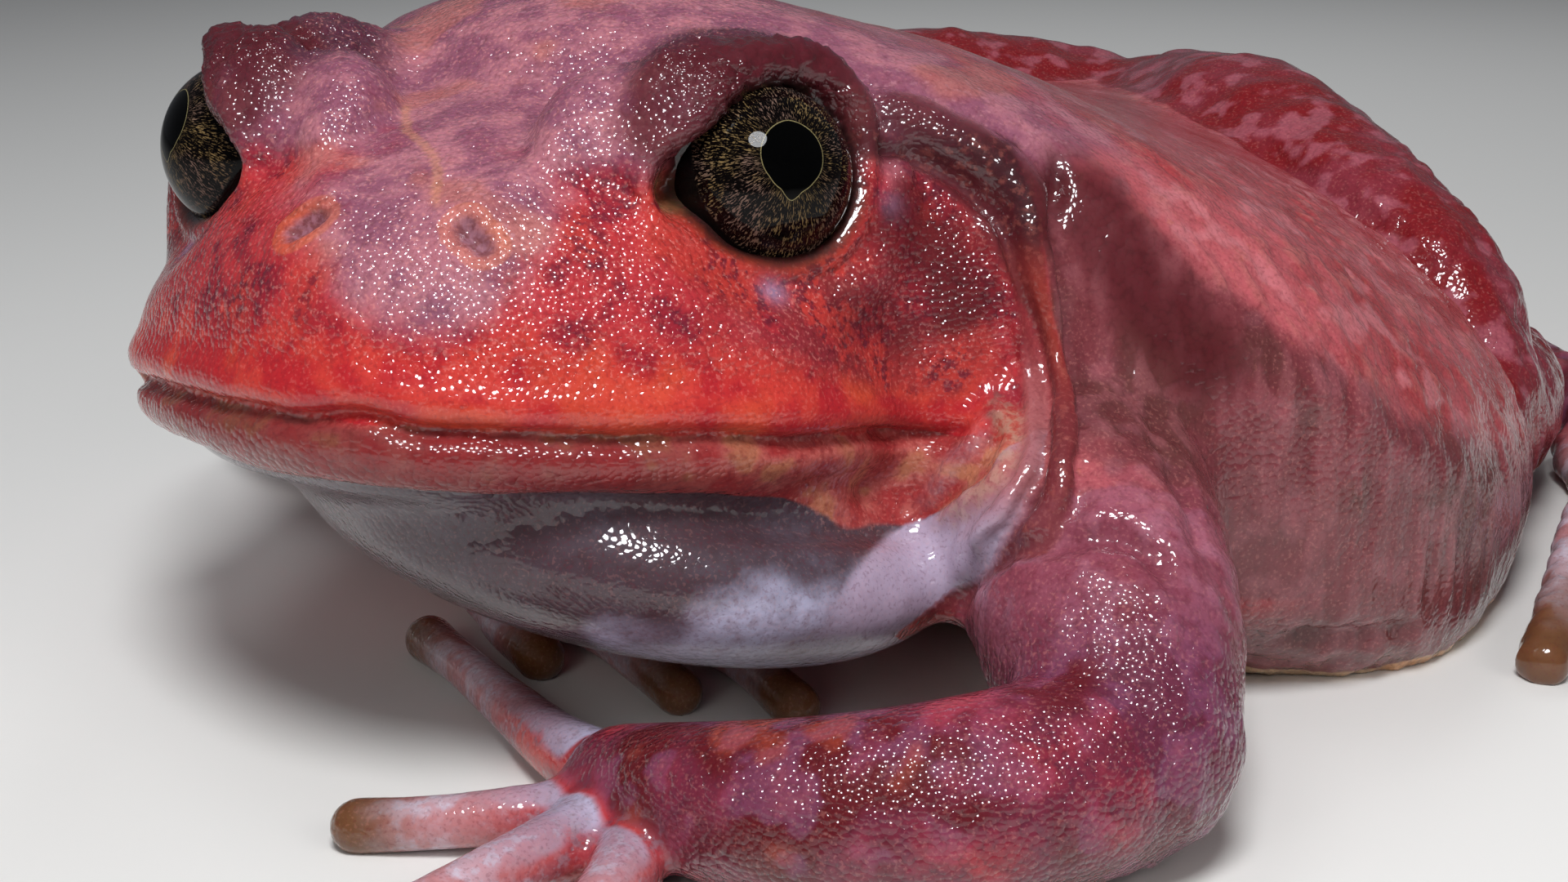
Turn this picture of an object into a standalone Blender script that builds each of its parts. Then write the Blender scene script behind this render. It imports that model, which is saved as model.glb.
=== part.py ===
"""A tomato frog, life size and still, sitting with its chest raised and its head turned to its left.

The whole skin is built up from lofted forms, remeshed into one surface, carved along the lines of
the mouth, lids and folds, and then parted with thin cuts into the animal's named parts.

Shapes are worked out in millimetres in the body's own frame: +X to the frog's left, +Y towards its
rump, +Z up, with the floor at z = 0 and the neck above the origin. At the end everything moves so
that the origin lies at the middle of the underside, and is written in metres.
"""

import math

import bmesh
import bpy
import numpy as np
from mathutils import Euler, Matrix, Vector

MM = 0.001

# The head's own frame: x to the frog's left, y back from the snout, z up, from the notch of the lips.
LIP_NOTCH = (6.0, -21.0, 16.5)
HEAD_TURN = 16.0
HEAD_LIFT = 9.0

EYE_RADIUS = 3.55
EYE_CENTRE = (10.75, 11.4, 8.5)

GAP = 0.3
CORE_VOXEL = 0.9
SKIN_VOXEL = 0.5
SKIN_TRIANGLES = 7800

# Rows of the head: distance back, half width at the lips, height of the crown, depth of the jaw,
# and how square the upper cross-section is.
HEAD_ROWS = (
    (0.0, 1.2, 2.6, 2.0, 2.4),
    (0.5, 3.2, 4.4, 2.8, 2.4),
    (1.4, 5.4, 5.9, 3.2, 2.4),
    (3.0, 8.2, 7.4, 3.5, 2.3),
    (5.0, 11.0, 8.7, 3.8, 2.1),
    (7.5, 13.6, 9.9, 4.0, 1.95),
    (10.5, 15.2, 11.0, 4.3, 1.85),
    (15.0, 16.4, 12.2, 4.9, 1.9),
    (20.0, 17.3, 13.0, 5.6, 2.1),
    (26.0, 17.8, 13.2, 6.5, 2.2),
    (32.0, 17.0, 12.0, 7.0, 2.2),
)
JAW_ROUND = 3.2
THROAT_CENTRE = (4.5, 14.4, -5.4)
THROAT_SIZE = (13.9, 11.0, 4.9)
THROAT_ROLL = 9.8

# The orbit is a swelling behind and over the eye. Its opening is a shallow dish, turned outwards.
ORBIT_CENTRE = (8.8, 14.0, 9.1)
ORBIT_SIZE = (4.8, 5.6, 4.8)
DISH_TURN = 44.0
DISH_RISE = 14.0
DISH_DEPTH = 1.0
DISH_SLOPE = 0.45
DISH_REACH = 6.4

# Lids are rolls round the opening of each orbit. Rows, from the middle of the eyeball: towards the
# nose, up, out of the opening, and radius.
UPPER_LID = (
    (5.5, -0.6, 1.7, 0.4),
    (4.7, 0.7, 1.9, 0.6),
    (3.6, 1.9, 2.0, 0.75),
    (2.6, 3.0, 1.9, 0.85),
    (1.3, 3.8, 1.6, 0.9),
    (-0.2, 4.2, 1.3, 0.9),
    (-1.7, 4.2, 1.2, 0.85),
    (-3.0, 3.5, 1.2, 0.75),
    (-3.8, 2.4, 1.2, 0.65),
    (-4.0, 1.0, 1.2, 0.6),
    (-3.9, 0.0, 1.2, 0.55),
)
LOWER_LID = (
    (5.5, -0.6, 1.7, 0.4),
    (4.8, -2.0, 1.5, 0.45),
    (3.7, -3.0, 1.35, 0.5),
    (2.4, -3.5, 1.2, 0.5),
    (0.8, -3.8, 1.1, 0.55),
    (-1.0, -3.65, 1.1, 0.55),
    (-2.7, -2.8, 1.2, 0.55),
    (-3.6, -1.4, 1.3, 0.55),
    (-3.9, 0.0, 1.3, 0.5),
)
BROW = (
    (5.0, 1.5, 0.6, 0.95),
    (4.2, 2.6, 0.6, 1.4),
    (2.8, 3.6, 0.5, 1.7),
    (0.8, 4.0, 0.3, 1.6),
    (-1.4, 4.1, 0.2, 1.35),
    (-3.2, 3.6, 0.2, 1.1),
    (-4.2, 2.6, 0.2, 0.8),
)
RIGHT_LID_DROOP = 0.5

# Rows of the trunk: distance back, half width, top, underside, height of the widest line, how far
# its middle lies to the left, and how square the back is.
TRUNK_ROWS = (
    (-9.0, 10.5, 25.2, 7.0, 13.0, 0.5, 2.2),
    (-6.0, 14.4, 27.8, 5.6, 12.2, 0.6, 2.2),
    (0.0, 20.8, 29.2, 5.0, 11.0, 1.2, 2.2),
    (8.0, 28.2, 27.6, 0.4, 8.0, 2.6, 2.1),
    (16.0, 32.2, 25.0, -4.0, 5.0, 2.2, 2.05),
    (26.0, 33.2, 22.7, -4.0, 4.8, 1.2, 1.88),
    (37.0, 30.6, 20.4, -4.0, 6.0, 0.3, 1.75),
    (46.0, 24.0, 18.8, -2.6, 8.6, 0.0, 1.75),
    (54.0, 15.6, 17.3, 0.8, 9.4, 0.0, 1.9),
    (60.0, 9.0, 15.0, 3.2, 9.9, 0.0, 2.0),
    (64.0, 3.0, 12.0, 7.0, 9.8, 0.0, 2.0),
)
BELLY_ROUND = 3.6
# The underside of the chest is drawn up on the right, where the forearm is tucked under it.
TUCK = 6.0
TUCK_WIDTH = 16.0
TUCK_FRONT = 6.0
TUCK_BACK = 17.0

# Limbs are rows of x, y, z and radius along each bone.
LEFT_ARM = (
    (16.0, 7.0, 10.6, 6.4),
    (22.5, 1.6, 9.6, 5.7),
    (27.0, -3.6, 7.0, 5.0),
    (29.6, -7.0, 4.5, 4.2),
)
LEFT_FOREARM = (
    (29.6, -7.2, 4.2, 4.0),
    (28.4, -10.2, 4.0, 3.8),
    (25.4, -13.6, 3.7, 3.6),
    (21.7, -15.6, 3.3, 3.3),
    (17.0, -16.3, 2.7, 2.8),
    (13.2, -15.7, 1.9, 2.4),
)
RIGHT_ARM = (
    (-14.0, 6.0, 11.0, 6.0),
    (-20.0, 6.4, 9.8, 5.5),
    (-25.4, 8.2, 7.0, 4.8),
    (-28.6, 10.4, 4.4, 4.1),
)
RIGHT_FOREARM = (
    (-28.8, 10.4, 4.1, 3.9),
    (-24.8, 8.6, 3.7, 3.6),
    (-19.0, 6.2, 3.3, 3.2),
    (-13.6, 4.1, 2.8, 2.8),
    (-10.4, 2.7, 2.3, 2.4),
    (-7.6, 1.4, 1.8, 2.1),
)
LEFT_FINGERS = (
    (
        (12.6, -14.8, 1.5, 1.7),
        (9.0, -13.8, 1.5, 1.35),
        (4.6, -11.6, 1.3, 1.1),
        (-0.6, -8.9, 1.1, 0.95),
        (-4.0, -7.1, 0.8, 1.05),
    ),
    ((13.4, -16.4, 1.4, 1.7), (11.0, -18.6, 1.4, 1.15), (8.0, -20.6, 1.1, 1.0), (5.6, -21.8, 0.8, 1.05)),
    ((14.2, -17.0, 1.4, 1.7), (13.2, -22.0, 1.5, 1.2), (12.0, -26.4, 1.2, 1.0), (11.0, -29.4, 0.8, 1.1)),
    ((15.4, -17.2, 1.4, 1.6), (17.0, -21.6, 1.4, 1.15), (17.6, -25.4, 1.1, 1.0), (17.6, -27.6, 0.8, 1.05)),
)
RIGHT_FINGERS = (
    ((-7.0, 1.8, 1.4, 1.7), (-2.0, 3.4, 1.2, 1.15), (2.6, 3.4, 1.0, 1.0), (5.4, 2.6, 0.8, 1.05)),
    ((-6.6, 0.9, 1.3, 1.7), (0.6, 0.6, 1.3, 1.15), (8.2, -1.4, 1.0, 1.0), (13.4, -4.2, 0.8, 1.05)),
    ((-6.6, 0.2, 1.3, 1.7), (-0.4, -1.8, 1.3, 1.15), (4.8, -3.8, 1.0, 1.0), (8.6, -5.7, 0.8, 1.05)),
    ((-7.2, -0.2, 1.3, 1.6), (-4.0, -2.8, 1.3, 1.15), (-1.0, -4.8, 1.0, 1.0), (1.4, -6.0, 0.8, 1.05)),
)
LEFT_THIGH = (
    (3.0, 54.6, 13.6, 6.2),
    (11.4, 46.6, 14.7, 6.4),
    (18.8, 40.7, 13.0, 6.2),
    (25.0, 36.0, 10.0, 5.7),
    (28.4, 32.9, 6.5, 4.8),
)
LEFT_SHANK = (
    (28.6, 33.6, 5.3, 4.5),
    (27.4, 42.6, 4.8, 4.3),
    (23.0, 50.6, 4.1, 3.7),
    (18.0, 57.4, 3.2, 2.8),
)
LEFT_FOOT = (
    (17.8, 59.2, 2.7, 2.6),
    (23.0, 59.6, 2.2, 2.3),
    (28.6, 55.0, 1.9, 2.2),
    (33.2, 48.2, 1.6, 2.3),
)
LEFT_TOES = (
    ((31.8, 47.0, 1.3, 1.5), (32.6, 44.0, 1.2, 1.05), (33.8, 41.8, 0.8, 1.05)),
    ((32.8, 46.6, 1.3, 1.5), (34.6, 42.0, 1.4, 1.05), (36.2, 38.4, 0.8, 1.05)),
    ((34.0, 47.0, 1.3, 1.6), (37.8, 38.8, 1.8, 1.1), (39.4, 32.0, 1.5, 1.05), (40.6, 28.4, 0.8, 1.1)),
    ((33.4, 46.6, 1.6, 1.6), (35.4, 37.0, 3.4, 1.2), (36.9, 26.0, 2.5, 1.1), (38.0, 17.4, 0.8, 1.1)),
    ((35.0, 48.6, 1.3, 1.6), (41.0, 43.4, 1.5, 1.05), (44.6, 36.6, 1.2, 1.0), (45.8, 32.6, 0.8, 1.05)),
)


# Lines along the skin: points in the head's frame, the width of the line, and its height, which is
# negative for a groove. Those of the head run on both sides.
MOUTH = (
    (0.0, 0.0, 0.1),
    (1.4, 0.0, -0.3),
    (3.6, 0.6, -0.4),
    (7.1, 2.4, -0.5),
    (12.0, 5.9, -0.6),
    (15.6, 11.0, -1.0),
    (18.2, 14.4, -1.1),
    (19.2, 14.8, -0.4),
)
UPPER_LIP_RISE = 1.2
LOWER_LIP_DROP = 1.3
JAW_EDGE = (
    (0.0, 0.8, -3.2),
    (4.8, 2.4, -3.4),
    (8.0, 4.0, -3.2),
    (11.0, 6.2, -3.4),
    (13.4, 9.0, -4.2),
    (15.4, 12.4, -5.4),
    (17.0, 14.6, -5.6),
)
NOSTRIL = ((3.2, 2.1, 6.3), (3.8, 2.5, 6.1))
HEAD_LINES = (
    (((19.2, 14.6, -0.4), (19.6, 13.6, -1.7), (18.5, 13.7, -3.1), (17.2, 14.1, -4.0)), 0.5, -0.4),
    (
        ((19.4, 16.1, 6.2), (20.6, 16.0, 3.1), (21.1, 14.6, 0.2), (21.4, 11.8, -2.5), (19.7, 11.8, -5.5)),
        1.0,
        0.6,
    ),
    (
        ((14.1, 13.0, 9.8), (16.1, 15.5, 8.9), (18.4, 15.9, 7.1), (19.8, 15.9, 4.4), (20.9, 13.7, -0.7)),
        0.7,
        -0.6,
    ),
    (
        ((13.9, 14.0, 11.2), (18.9, 17.5, 9.3), (22.0, 17.0, 4.4), (23.2, 14.7, 0.3), (22.6, 9.9, -4.0)),
        1.2,
        0.9,
    ),
    (
        ((14.5, 17.2, 12.0), (20.7, 18.3, 8.8), (23.6, 17.2, 2.6), (24.2, 12.5, -1.1), (23.3, 9.8, -3.5)),
        1.0,
        -0.9,
    ),
)
# Lines of the body's left side, in the body's frame.
BODY_LINES = (
    (((21.0, -4.5, 6.4), (22.6, -5.8, 9.5), (25.5, -6.2, 11.1), (28.8, -5.0, 11.3)), 0.9, -0.6),
    (
        ((14.5, 38.5, 18.0), (21.7, 34.0, 16.0), (26.0, 33.0, 13.4), (29.7, 31.0, 10.6), (31.8, 29.6, 7.0)),
        0.9,
        -0.5,
    ),
)

# The cells that part the skin: each is a fat length round one bone, a little wider than the limb.
CELL_MARGIN = 0.8
THIGH_ROOT = (10.2, 47.8, 14.4, 6.4)
SHOULDER_LEFT = (23.2, 0.8, 9.2, 5.8)
SHOULDER_RIGHT = (-19.6, 6.2, 10.0, 5.8)
# Rows of the head's cell: distance back, its reach to the sides and up, and its reach down.
HEAD_CELL = (
    (-12.0, 26.0, 13.4),
    (6.0, 26.0, 13.4),
    (15.0, 25.4, 13.2),
    (20.0, 24.0, 12.6),
    (23.6, 20.5, 11.4),
    (25.6, 15.0, 9.0),
    (26.4, 7.0, 5.0),
)

SKINS = {
    "head": (0.56, 0.09, 0.045),
    "torso": (0.47, 0.10, 0.07),
    "upper_arm": (0.50, 0.10, 0.07),
    "forearm": (0.55, 0.13, 0.08),
    "hand": (0.62, 0.34, 0.28),
    "thigh": (0.46, 0.09, 0.06),
    "shank": (0.50, 0.14, 0.08),
    "foot": (0.62, 0.34, 0.28),
}
SKIN_ROUGHNESS = 0.35
EYE_COLOUR = (0.02, 0.015, 0.012)
EYE_ROUGHNESS = 0.05


def through(rows, count):
    """The given rows of numbers as a smooth run of that many rows."""
    rows = np.array(rows, float)
    step = np.linalg.norm(np.diff(rows[:, :3], axis=0), axis=1)
    at = np.concatenate([[0.0], np.cumsum(step)])
    slope = np.gradient(rows, at, axis=0)
    t = np.linspace(0.0, at[-1], count)
    k = np.clip(np.searchsorted(at, t, side="right") - 1, 0, len(step) - 1)
    h = step[k][:, None]
    s = (t - at[k])[:, None] / h
    return (
        (1 + 2 * s) * (1 - s) ** 2 * rows[k]
        + s * (1 - s) ** 2 * h * slope[k]
        + s * s * (3 - 2 * s) * rows[k + 1]
        + s * s * (s - 1) * h * slope[k + 1]
    )


def head_axes():
    """The head frame's three axes in the body's frame."""
    turn = math.radians(HEAD_TURN)
    lift = math.radians(HEAD_LIFT)
    left = Vector((math.cos(turn), math.sin(turn), 0.0))
    back = Vector((-math.sin(turn) * math.cos(lift), math.cos(turn) * math.cos(lift), -math.sin(lift)))
    return left, back, left.cross(back)


def on_head(x, y, z):
    """A point of the head's frame, in the body's frame."""
    left, back, up = head_axes()
    return Vector(LIP_NOTCH) + left * x + back * y + up * z


def mirrored(rows):
    """The same rows on the frog's other side."""
    return tuple((-row[0],) + tuple(row[1:]) for row in rows)


def add_rings(clay, rings):
    """Joins rings of points into one closed form in the clay."""
    loops = [[clay.verts.new(point) for point in ring] for ring in rings]
    for a, b in zip(loops, loops[1:]):
        for i in range(len(a)):
            clay.faces.new((a[i - 1], a[i], b[i], b[i - 1]))
    clay.faces.new(loops[0])
    clay.faces.new(loops[-1][::-1])


def add_limb(clay, rows, count=24, sides=18, rounded=True):
    """A round, tapering length through rows of x, y, z and radius, with rounded or flat ends."""
    run = through(rows, count)
    centres = [Vector(row[:3]) for row in run]
    sizes = [row[3] for row in run]
    rings = []
    for i, (centre, size) in enumerate(zip(centres, sizes)):
        along = (centres[min(i + 1, count - 1)] - centres[max(i - 1, 0)]).normalized()
        across = along.cross(Vector((0.0, 0.0, 1.0))).normalized()
        over = across.cross(along)
        ends = [(0.0, 1.0)]
        if i == 0 and rounded:
            ends = [(-math.sin(a), math.cos(a)) for a in np.radians([80, 60, 40, 20, 0])]
        if i == count - 1 and rounded:
            ends = [(math.sin(a), math.cos(a)) for a in np.radians([0, 20, 40, 60, 80])]
        for forward, wide in ends:
            middle = centre + along * size * forward
            rings.append(
                [
                    middle + (across * math.cos(a) + over * math.sin(a)) * size * wide
                    for a in np.linspace(0, 2 * math.pi, sides, endpoint=False)
                ]
            )
    add_rings(clay, rings)


def add_ball(clay, centre, radii, turn=(0.0, 0.0, 0.0), detail=24):
    """An ellipsoid, turned by angles in degrees."""
    matrix = (
        Matrix.Translation(centre)
        @ Euler([math.radians(a) for a in turn]).to_matrix().to_4x4()
        @ Matrix.Diagonal((*radii, 1.0))
    )
    bmesh.ops.create_uvsphere(clay, u_segments=detail, v_segments=detail // 2, radius=1.0, matrix=matrix)


def squarish(angle, half, top, low, upper_round, lower_round):
    """A point of a rounded cross-section: its x and its height over the widest line."""
    c = math.cos(angle)
    s = math.sin(angle)
    power = 2 / (upper_round if s > 0 else lower_round)
    x = half * math.copysign(abs(c) ** power, c)
    return x, (top if s > 0 else low) * math.copysign(abs(s) ** power, s)


def add_head(clay):
    rings = []
    for back, half, top, low, square in through(HEAD_ROWS, 48):
        ring = []
        for angle in np.linspace(0, 2 * math.pi, 72, endpoint=False):
            x, z = squarish(angle, half, top, low, square, JAW_ROUND)
            ring.append(on_head(x, back, z))
        rings.append(ring)
    add_rings(clay, rings)
    add_ball(clay, on_head(*THROAT_CENTRE), THROAT_SIZE, turn=(-HEAD_LIFT, THROAT_ROLL, HEAD_TURN))
    x, y, z = ORBIT_CENTRE
    for side in (1, -1):
        add_ball(clay, on_head(side * x, y, z), ORBIT_SIZE, turn=(0, 0, HEAD_TURN))


def add_trunk(clay):
    rings = []
    for along, half, top, low, widest, middle, square in through(TRUNK_ROWS, 60):
        ring = []
        for angle in np.linspace(0, 2 * math.pi, 72, endpoint=False):
            x, z = squarish(angle, half, top - widest, widest - low, square, BELLY_ROUND)
            if z < 0:
                share = min(max(-x / TUCK_WIDTH, 0.0), 1.0)
                share *= min(max((TUCK_BACK - along) / (TUCK_BACK - TUCK_FRONT), 0.0), 1.0)
                z *= 1.0 - share * TUCK / (widest - low)
            ring.append(Vector((middle + x, along, widest + z)))
        rings.append(ring)
    add_rings(clay, rings)


def clay_object(name, clay):
    """The clay as an object in the scene, sized in metres."""
    bmesh.ops.recalc_face_normals(clay, faces=clay.faces)
    bmesh.ops.scale(clay, vec=(MM, MM, MM), verts=clay.verts)
    mesh = bpy.data.meshes.new(name)
    clay.to_mesh(mesh)
    clay.free()
    made = bpy.data.objects.new(name, mesh)
    bpy.context.scene.collection.objects.link(made)
    return made


def settle(thing):
    """Applies the object's modifiers."""
    graph = bpy.context.evaluated_depsgraph_get()
    mesh = bpy.data.meshes.new_from_object(thing.evaluated_get(graph))
    thing.modifiers.clear()
    old = thing.data
    thing.data = mesh
    bpy.data.meshes.remove(old)


def remesh(thing, voxel):
    """One surface over all the forms of the object."""
    modifier = thing.modifiers.new("Remesh", "REMESH")
    modifier.mode = "VOXEL"
    modifier.voxel_size = voxel * MM
    settle(thing)


def points_of(mesh):
    points = np.empty(len(mesh.vertices) * 3)
    mesh.vertices.foreach_get("co", points)
    return points.reshape(-1, 3) / MM


def move_points(mesh, points):
    mesh.vertices.foreach_set("co", (points * MM).reshape(-1))
    mesh.update()


def normals_of(mesh):
    normals = np.empty(len(mesh.vertices) * 3, np.float32)
    mesh.vertex_normals.foreach_get("vector", normals)
    return normals.reshape(-1, 3).astype(float)


def edges_of(mesh):
    edges = np.empty(len(mesh.edges) * 2, np.int32)
    mesh.edges.foreach_get("vertices", edges)
    return edges.reshape(-1, 2)


def soften(mesh, passes, share=None):
    """Evens out the surface, keeping its size: each pass pulls in and then pushes back."""
    points = points_of(mesh)
    edges = edges_of(mesh)
    count = np.bincount(edges.reshape(-1), minlength=len(points))[:, None]
    share = 1.0 if share is None else share[:, None]
    for _ in range(passes):
        for pull in (0.5, -0.52):
            total = np.zeros_like(points)
            for axis in range(3):
                total[:, axis] += np.bincount(edges[:, 0], points[edges[:, 1], axis], len(points))
                total[:, axis] += np.bincount(edges[:, 1], points[edges[:, 0], axis], len(points))
            points += share * pull * (total / count - points)
    move_points(mesh, points)


def bearing(turn, rise, side=1):
    """A direction of the head's frame, by its turn outwards from straight ahead and its rise, in degrees."""
    turn = math.radians(turn)
    rise = math.radians(rise)
    flat = math.cos(rise)
    return on_head(side * math.sin(turn) * flat, -math.cos(turn) * flat, math.sin(rise)) - on_head(0, 0, 0)


def eye_centre(side):
    x, y, z = EYE_CENTRE
    return on_head(side * x, y, z)


def dish_orbits(mesh):
    """Presses the skin in front of each eye back to a shallow dish round the eyeball."""
    points = points_of(mesh)
    for side in (1, -1):
        outward = np.array(bearing(DISH_TURN, DISH_RISE, side))
        arm = points - np.array(eye_centre(side))
        height = arm @ outward
        reach = np.linalg.norm(arm - height[:, None] * outward, axis=1)
        rim = math.sqrt(EYE_RADIUS**2 - DISH_DEPTH**2)
        limit = DISH_DEPTH + DISH_SLOPE * np.maximum(reach - rim, 0.0)
        near = (reach < DISH_REACH) & (height > limit) & (height < EYE_RADIUS + 4.0)
        fade = np.clip((DISH_REACH - reach) / 1.5, 0.0, 1.0)
        points -= np.where(near, (height - limit) * fade, 0.0)[:, None] * outward
    move_points(mesh, points)


def round_orbit(side, forward, upward, outward):
    """A point by the opening of an orbit, in the body's frame."""
    out = bearing(DISH_TURN, DISH_RISE, side)
    front = bearing(DISH_TURN - 90.0, 0.0, side)
    rise = front.cross(out) * side
    return eye_centre(side) + front * forward + rise * upward + out * outward


def add_lids(clay, side):
    for lid in (UPPER_LID, LOWER_LID, BROW):
        rows = []
        for forward, upward, outward, size in lid:
            if side < 0 and upward > 0.5:
                outward += RIGHT_LID_DROOP
                upward -= RIGHT_LID_DROOP
            rows.append((*round_orbit(side, forward, upward, outward), size))
        add_limb(clay, rows, count=48, sides=12)


def nearest(points, targets):
    """The point of the skin nearest to each target."""
    return np.array([points[np.argmin(((points - t) ** 2).sum(axis=1))] for t in targets])


def stroke(points, normals, route, width, height):
    """Raises or presses the skin along a route, fading out at its ends."""
    count = 10 * len(route)
    run = nearest(points, through(route, count))
    for _ in range(3):
        run[1:-1] = (run[:-2] + 2 * run[1:-1] + run[2:]) / 4
    low = run.min(axis=0) - 4 * width
    high = run.max(axis=0) + 4 * width
    close = np.nonzero(((points > low) & (points < high)).all(axis=1))[0]
    best = np.full(len(close), np.inf)
    where = np.zeros(len(close))
    for i in range(count - 1):
        span = run[i + 1] - run[i]
        arm = points[close] - run[i]
        t = np.clip(arm @ span / max(span @ span, 1e-9), 0.0, 1.0)
        gap = np.linalg.norm(arm - t[:, None] * span, axis=1)
        nearer = gap < best
        best[nearer] = gap[nearer]
        where[nearer] = (i + t[nearer]) / (count - 1)
    fade = np.clip(np.minimum(where, 1.0 - where) / 0.15, 0.0, 1.0)
    lift = height * fade * np.exp(-((best / width) ** 2))
    points[close] += normals[close] * lift[:, None]


def full_width(route):
    """A route from the middle outwards, run over both sides."""
    return tuple(reversed(mirrored(route[1:]))) + tuple(route)


def placed(route, rise=0.0):
    return [tuple(on_head(x, y, z + rise)) for x, y, z in route]


def draw_lines(mesh):
    """The line of the mouth, the lips, the edge of the jaw, the nostrils and the folds of the skin."""
    points = points_of(mesh)
    normals = normals_of(mesh)
    mouth = full_width(MOUTH)
    stroke(points, normals, placed(mouth, UPPER_LIP_RISE), 0.8, 0.25)
    stroke(points, normals, placed(mouth, -LOWER_LIP_DROP), 0.8, 0.25)
    stroke(points, normals, placed(mouth), 0.5, -0.6)
    stroke(points, normals, placed(full_width(JAW_EDGE)), 0.9, -0.6)
    for side in (1, -1):
        for route, width, height in ((NOSTRIL, 1.0, 0.3), (NOSTRIL, 0.45, -0.9)) + HEAD_LINES:
            route = route if side > 0 else mirrored(route)
            stroke(points, normals, placed(route), width, height)
    for route, width, height in BODY_LINES:
        stroke(points, normals, route, width, height)
    route, width, height = BODY_LINES[-1]
    stroke(points, normals, mirrored(route), width, height)
    move_points(mesh, points)


def build_skin():
    """The frog's whole skin, without eyes."""
    clay = bmesh.new()
    add_head(clay)
    add_trunk(clay)
    for thigh in (LEFT_THIGH, mirrored(LEFT_THIGH)):
        add_limb(clay, thigh)
    for arm in (LEFT_ARM, RIGHT_ARM):
        add_limb(clay, arm)
    skin = clay_object("skin", clay)
    remesh(skin, CORE_VOXEL)
    soften(skin.data, 14)
    dish_orbits(skin.data)
    clay = bmesh.new()
    clay.from_mesh(skin.data)
    bmesh.ops.scale(clay, vec=(1 / MM,) * 3, verts=clay.verts)
    bpy.data.objects.remove(skin)
    for rows in (LEFT_FOREARM, RIGHT_FOREARM, LEFT_SHANK, LEFT_FOOT):
        add_limb(clay, rows)
    for rows in (LEFT_SHANK, LEFT_FOOT):
        add_limb(clay, mirrored(rows))
    add_lids(clay, 1)
    add_lids(clay, -1)
    for rows in LEFT_FINGERS + RIGHT_FINGERS + LEFT_TOES:
        add_limb(clay, rows, sides=12)
    for rows in LEFT_TOES:
        add_limb(clay, mirrored(rows), sides=12)
    skin = clay_object("skin", clay)
    remesh(skin, SKIN_VOXEL)
    soften(skin.data, 2)
    draw_lines(skin.data)
    return skin


def thin_out(skin):
    """Fewer, larger triangles where the skin is smooth."""
    skin.data.calc_loop_triangles()
    modifier = skin.modifiers.new("Decimate", "DECIMATE")
    modifier.ratio = SKIN_TRIANGLES / len(skin.data.loop_triangles)
    modifier.use_collapse_triangulate = True
    settle(skin)


def combine(thing, cutter, operation):
    """Cuts the thing by the cutter, or keeps only what lies inside it."""
    modifier = thing.modifiers.new("Boolean", "BOOLEAN")
    modifier.operation = operation
    modifier.solver = "EXACT"
    modifier.object = cutter
    settle(thing)


def copied(thing, name):
    made = bpy.data.objects.new(name, thing.data.copy())
    bpy.context.scene.collection.objects.link(made)
    return made


def bodies_of(thing):
    """The thing's separate closed surfaces, largest first, as lists of faces of a working mesh."""
    work = bmesh.new()
    work.from_mesh(thing.data)
    work.faces.ensure_lookup_table()
    seen = set()
    found = []
    for start in work.faces:
        if start.index in seen:
            continue
        seen.add(start.index)
        group = [start]
        for face in group:
            for edge in face.edges:
                for other in edge.link_faces:
                    if other.index not in seen:
                        seen.add(other.index)
                        group.append(other)
        found.append(group)
    found.sort(key=lambda group: -sum(face.calc_area() for face in group))
    return work, found


def keep_only(thing, rank):
    """Drops every closed surface of the thing but one, by its rank in size."""
    work, found = bodies_of(thing)
    drop = [face for i, group in enumerate(found) if i != rank for face in group]
    bmesh.ops.delete(work, geom=drop, context="FACES")
    work.to_mesh(thing.data)
    work.free()


def cell_pair(rows):
    """A fat, flat-ended length round a bone, and the same one wider by the gap."""
    pair = []
    for extra in (0.0, GAP):
        ends = np.array(rows, float)
        for end, beside in ((0, 1), (-1, -2)):
            outward = ends[end, :3] - ends[beside, :3]
            ends[end, :3] += outward / np.linalg.norm(outward) * extra
        ends[:, 3] += CELL_MARGIN + extra
        clay = bmesh.new()
        add_limb(clay, ends, count=9, sides=16, rounded=False)
        pair.append(clay_object("cell", clay))
    return pair


def head_cell_pair():
    """A round-backed cell over the whole head, and the same one wider by the gap."""
    pair = []
    for extra in (0.0, GAP):
        clay = bmesh.new()
        rings = []
        for back, reach, down in HEAD_CELL:
            ring = []
            for angle in np.linspace(0, 2 * math.pi, 36, endpoint=False):
                x = (reach + extra) * math.cos(angle)
                z = ((reach if math.sin(angle) > 0 else down) + extra) * math.sin(angle)
                ring.append(on_head(x, back + extra, z))
            rings.append(ring)
        add_rings(clay, rings)
        pair.append(clay_object("cell", clay))
    return pair


def part_off(skin, pair, name):
    """Takes the piece inside the cell off the skin, leaving a gap all round it."""
    piece = copied(skin, name)
    combine(piece, pair[0], "INTERSECT")
    keep_only(piece, 0)
    combine(skin, pair[1], "DIFFERENCE")
    for cell in pair:
        bpy.data.objects.remove(cell)
    return piece


def finish(thing, name, colour, roughness):
    """Names the piece, and gives it its own material and smooth shading."""
    thing.name = name
    thing.data.name = name
    material = bpy.data.materials.new(name)
    material.use_nodes = True
    shader = material.node_tree.nodes["Principled BSDF"]
    shader.inputs["Base Color"].default_value = (*colour, 1.0)
    shader.inputs["Roughness"].default_value = roughness
    shader.inputs["Metallic"].default_value = 0.0
    thing.data.materials.clear()
    thing.data.materials.append(material)
    for face in thing.data.polygons:
        face.use_smooth = True


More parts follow.
